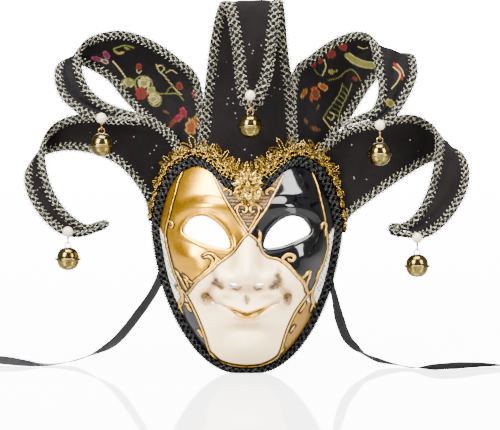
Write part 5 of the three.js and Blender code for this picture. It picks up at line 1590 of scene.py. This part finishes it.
def makeHorn(name, rows):
    kind = "brocade" if name in brocadeMotifs else "velvet"
    perRow, columns = hornCloth[kind]
    last = len(rows) - 1 - hornCloth["bare"]
    places = np.linspace(0, last, int(perRow * last) + 1)
    a, b = edgeFrame(rows, 0, places), edgeFrame(rows, 3, places)
    width = np.linalg.norm(a[0] - b[0], axis=1)
    under = gimpOf(name)["width"] / 2 - hornCloth["under"]
    inset = np.minimum(under, (width - hornCloth["leastWidth"]) / 2)[:, None]
    start, stop = a[0] + a[1] * inset, b[0] + b[1] * inset
    share = np.linspace(0, 1, columns + 1)[:, None]
    normal = mix(a[2][:, None], b[2][:, None], share)
    sag = rowCurve(rows, 6, places)[:, None] * 4 * share * (1 - share)
    ripple = np.sin(share * hornCloth["rippleAcross"] + places[:, None, None] * hornCloth["rippleAlong"])
    ripple = hornCloth["ripple"] * ripple * np.sin(math.pi * share)  # cloth is never quite even
    sheet = mix(start[:, None], stop[:, None], share) + sag + normal * ripple
    along = lengthAlong(sheet[:, columns // 2])
    across = np.linspace(0, float(width.mean()), columns + 1)
    batch = newBatch()
    grid = addCloth(batch, sheet, normal * hornCloth["thick"] / 2, along, across, flip=True)
    colors = values = None
    if kind == "brocade":
        color, shown = motifColors(name, grid, places)
        colors, values = {"motifColor": color.reshape(-1, 3)}, {"motifShare": shown}
    made = makeObject(camel(name) + "Horn", batch, [finishes[kind]], replaces=["horn_" + name],
                      colors=colors, values=values)


for hornName, hornTable in hornRows.items():
    makeHorn(hornName, hornTable)
    makeBraid(hornName, hornTable)

# A drop on each horn: the pearl, its wire eye, and the brass bell that swings on the eye.
drops = {  # pearl's middle, and the length from pearl to bell
    "center": ((3, -47.8, 129), 27.5),
    "upper_left": ((-130.5, -45.8, 108.5), 24.0),
    "upper_right": ((119.3, -46.8, 102.2), 25.9),
    "lower_left": ((-161.5, -47.5, 6), 24.4),
    "lower_right": ((153.6, -48.6, 0.5), 25.0),
}
bell = {"radius": 10.1, "flange": 11.9, "slit": 0.8, "slitNear": 1.9, "slitTop": -3.6, "swing": 12.8,
        "around": 72, "rings": 22, "inside": (0.9, 0.9, 0.88), "ball": 2.4, "ballSpot": (1.2, 0, -4.2)}
wireRing = {"radius": 0.5, "eye": 2.3, "loop": 2.7, "points": 30, "sides": 7, "shankSteps": 8, "intoEye": 0.3,
            "intoPearl": 1.0, "tail": 0.34, "tailTurns": 2.5, "tailSteps": 40, "tailReach": 0.85,
            "tailRise": 0.16, "tailUp": 0.25}
pearl = {"radius": 4.7, "lip": 1.0, "lipIn": 0.55, "lipShape": (1.2, 1.2, 0.6)}


# A ring of wire about the x axis or the y axis.
def addRing(batch, middle, reach, axis, slot=0):
    side, about = ((0, 1, 0), (1, 0, 0)) if axis == "x" else ((1, 0, 0), (0, 1, 0))
    turn = np.linspace(0, fullTurn, wireRing["points"])[:, None]
    points = np.asarray(middle) + reach * (np.sin(turn) * side + np.cos(turn) * (0, 0, 1))
    addCord(batch, points, about, wireRing["radius"], sides=wireRing["sides"], slot=slot)


# Turn a profile of (across, up) about the bell's upright axis.
def lathe(profile, around):
    turn = fullTurn * np.arange(around) / around
    reach, high = np.asarray(profile, float).T[:, :, None]
    return np.stack(np.broadcast_arrays(reach * np.cos(turn), reach * np.sin(turn), high), -1)


def makeBell(name, middle):
    size, rim, slit = bell["radius"], bell["flange"], bell["slit"]
    rise = np.linspace(0, 0.5 * math.pi - 0.1, bell["rings"])
    dome = np.stack((size * np.cos(rise) ** 0.82, 1.0 + 0.94 * size * np.sin(rise) ** 1.04), -1)
    lip = [(size - 0.4, 0.12), (rim - 0.1, 0.2), (rim, 0.6), (rim - 0.25, 1.0), (size + 0.3, 1.1)]
    top = lathe([*lip, *dome, (0.02, 1.0 + 0.95 * size)], bell["around"])
    low = top * (1, 1, -1)
    batch = newBatch()
    addGrid(batch, middle + top, closed=True)
    below, aside = low[..., 2] < bell["slitTop"], np.abs(low[..., 1])
    cut = below & (aside < slit)
    near = below & (aside < slit * bell["slitNear"]) & ~cut
    low[..., 1] = np.where(near, np.sign(low[..., 1]) * slit, low[..., 1])  # a straight edge beside the slit
    addGrid(batch, middle + low, closed=True, flip=True)
    after = np.roll(cut, -1, 1)
    keepQuads(batch, ~(cut[:-1] & cut[1:] & after[:-1] & after[1:]).ravel())
    addGrid(batch, middle + low * bell["inside"], closed=True, slot=1)
    addBall(batch, middle + bell["ballSpot"], bell["ball"], sides=10, rings=8, slot=1)
    loop = middle + (0, 0, size + wireRing["loop"] - wireRing["radius"])
    addRing(batch, loop, wireRing["loop"], "y", slot=2)
    makeObject(camel(name) + "Bell", batch, [finishes["brass"], finishes["bellInside"], finishes["wire"]],
               body="bell_" + name, replaces=["bell_" + name])


def makePearl(name, spot):
    batch = newBatch()
    addBall(batch, spot, pearl["radius"], sides=28, rings=20)
    for end in (-1, 1):  # the drilled hole's worn lip
        lip = spot + (0, 0, end * (pearl["radius"] - pearl["lipIn"]))
        addBall(batch, lip, pearl["lip"], sides=12, rings=6, scale=pearl["lipShape"])
    makeObject(camel(name) + "Pearl", batch, [finishes["pearl"]], replaces=["pearl_" + name])


def makeEye(name, spot, drop):
    batch = newBatch()
    middle = spot + (0, 0, bell["swing"] - drop + wireRing["eye"])
    addRing(batch, middle, wireRing["eye"], "x")
    low = middle + (0, 0, wireRing["eye"] - wireRing["intoEye"])
    high = spot - (0, 0, pearl["radius"] - wireRing["intoPearl"])
    shank = np.linspace(low, high, wireRing["shankSteps"])
    addCord(batch, shank, (1, 0, 0), wireRing["radius"], sides=wireRing["sides"])
    # the wire's tail, wound round its shank
    turn = np.linspace(0, wireRing["tailTurns"] * fullTurn, wireRing["tailSteps"])
    rise = wireRing["eye"] + wireRing["tailUp"] + wireRing["tailRise"] * turn
    wound = np.stack((wireRing["tailReach"] * np.cos(turn), wireRing["tailReach"] * np.sin(turn), rise), -1)
    addCord(batch, middle + wound, (0, 0, 1), wireRing["tail"], sides=5)
    makeObject(camel(name) + "Eye", batch, [finishes["wire"]], replaces=["eye_" + name])


for hornName, (pearlSpot, dropLength) in drops.items():
    pearlSpot = np.array(pearlSpot, float)
    makePearl(hornName, pearlSpot)
    makeEye(hornName, pearlSpot, dropLength)
    makeBell(hornName, pearlSpot - (0, 0, dropLength))
print("drops done:", len(drops))
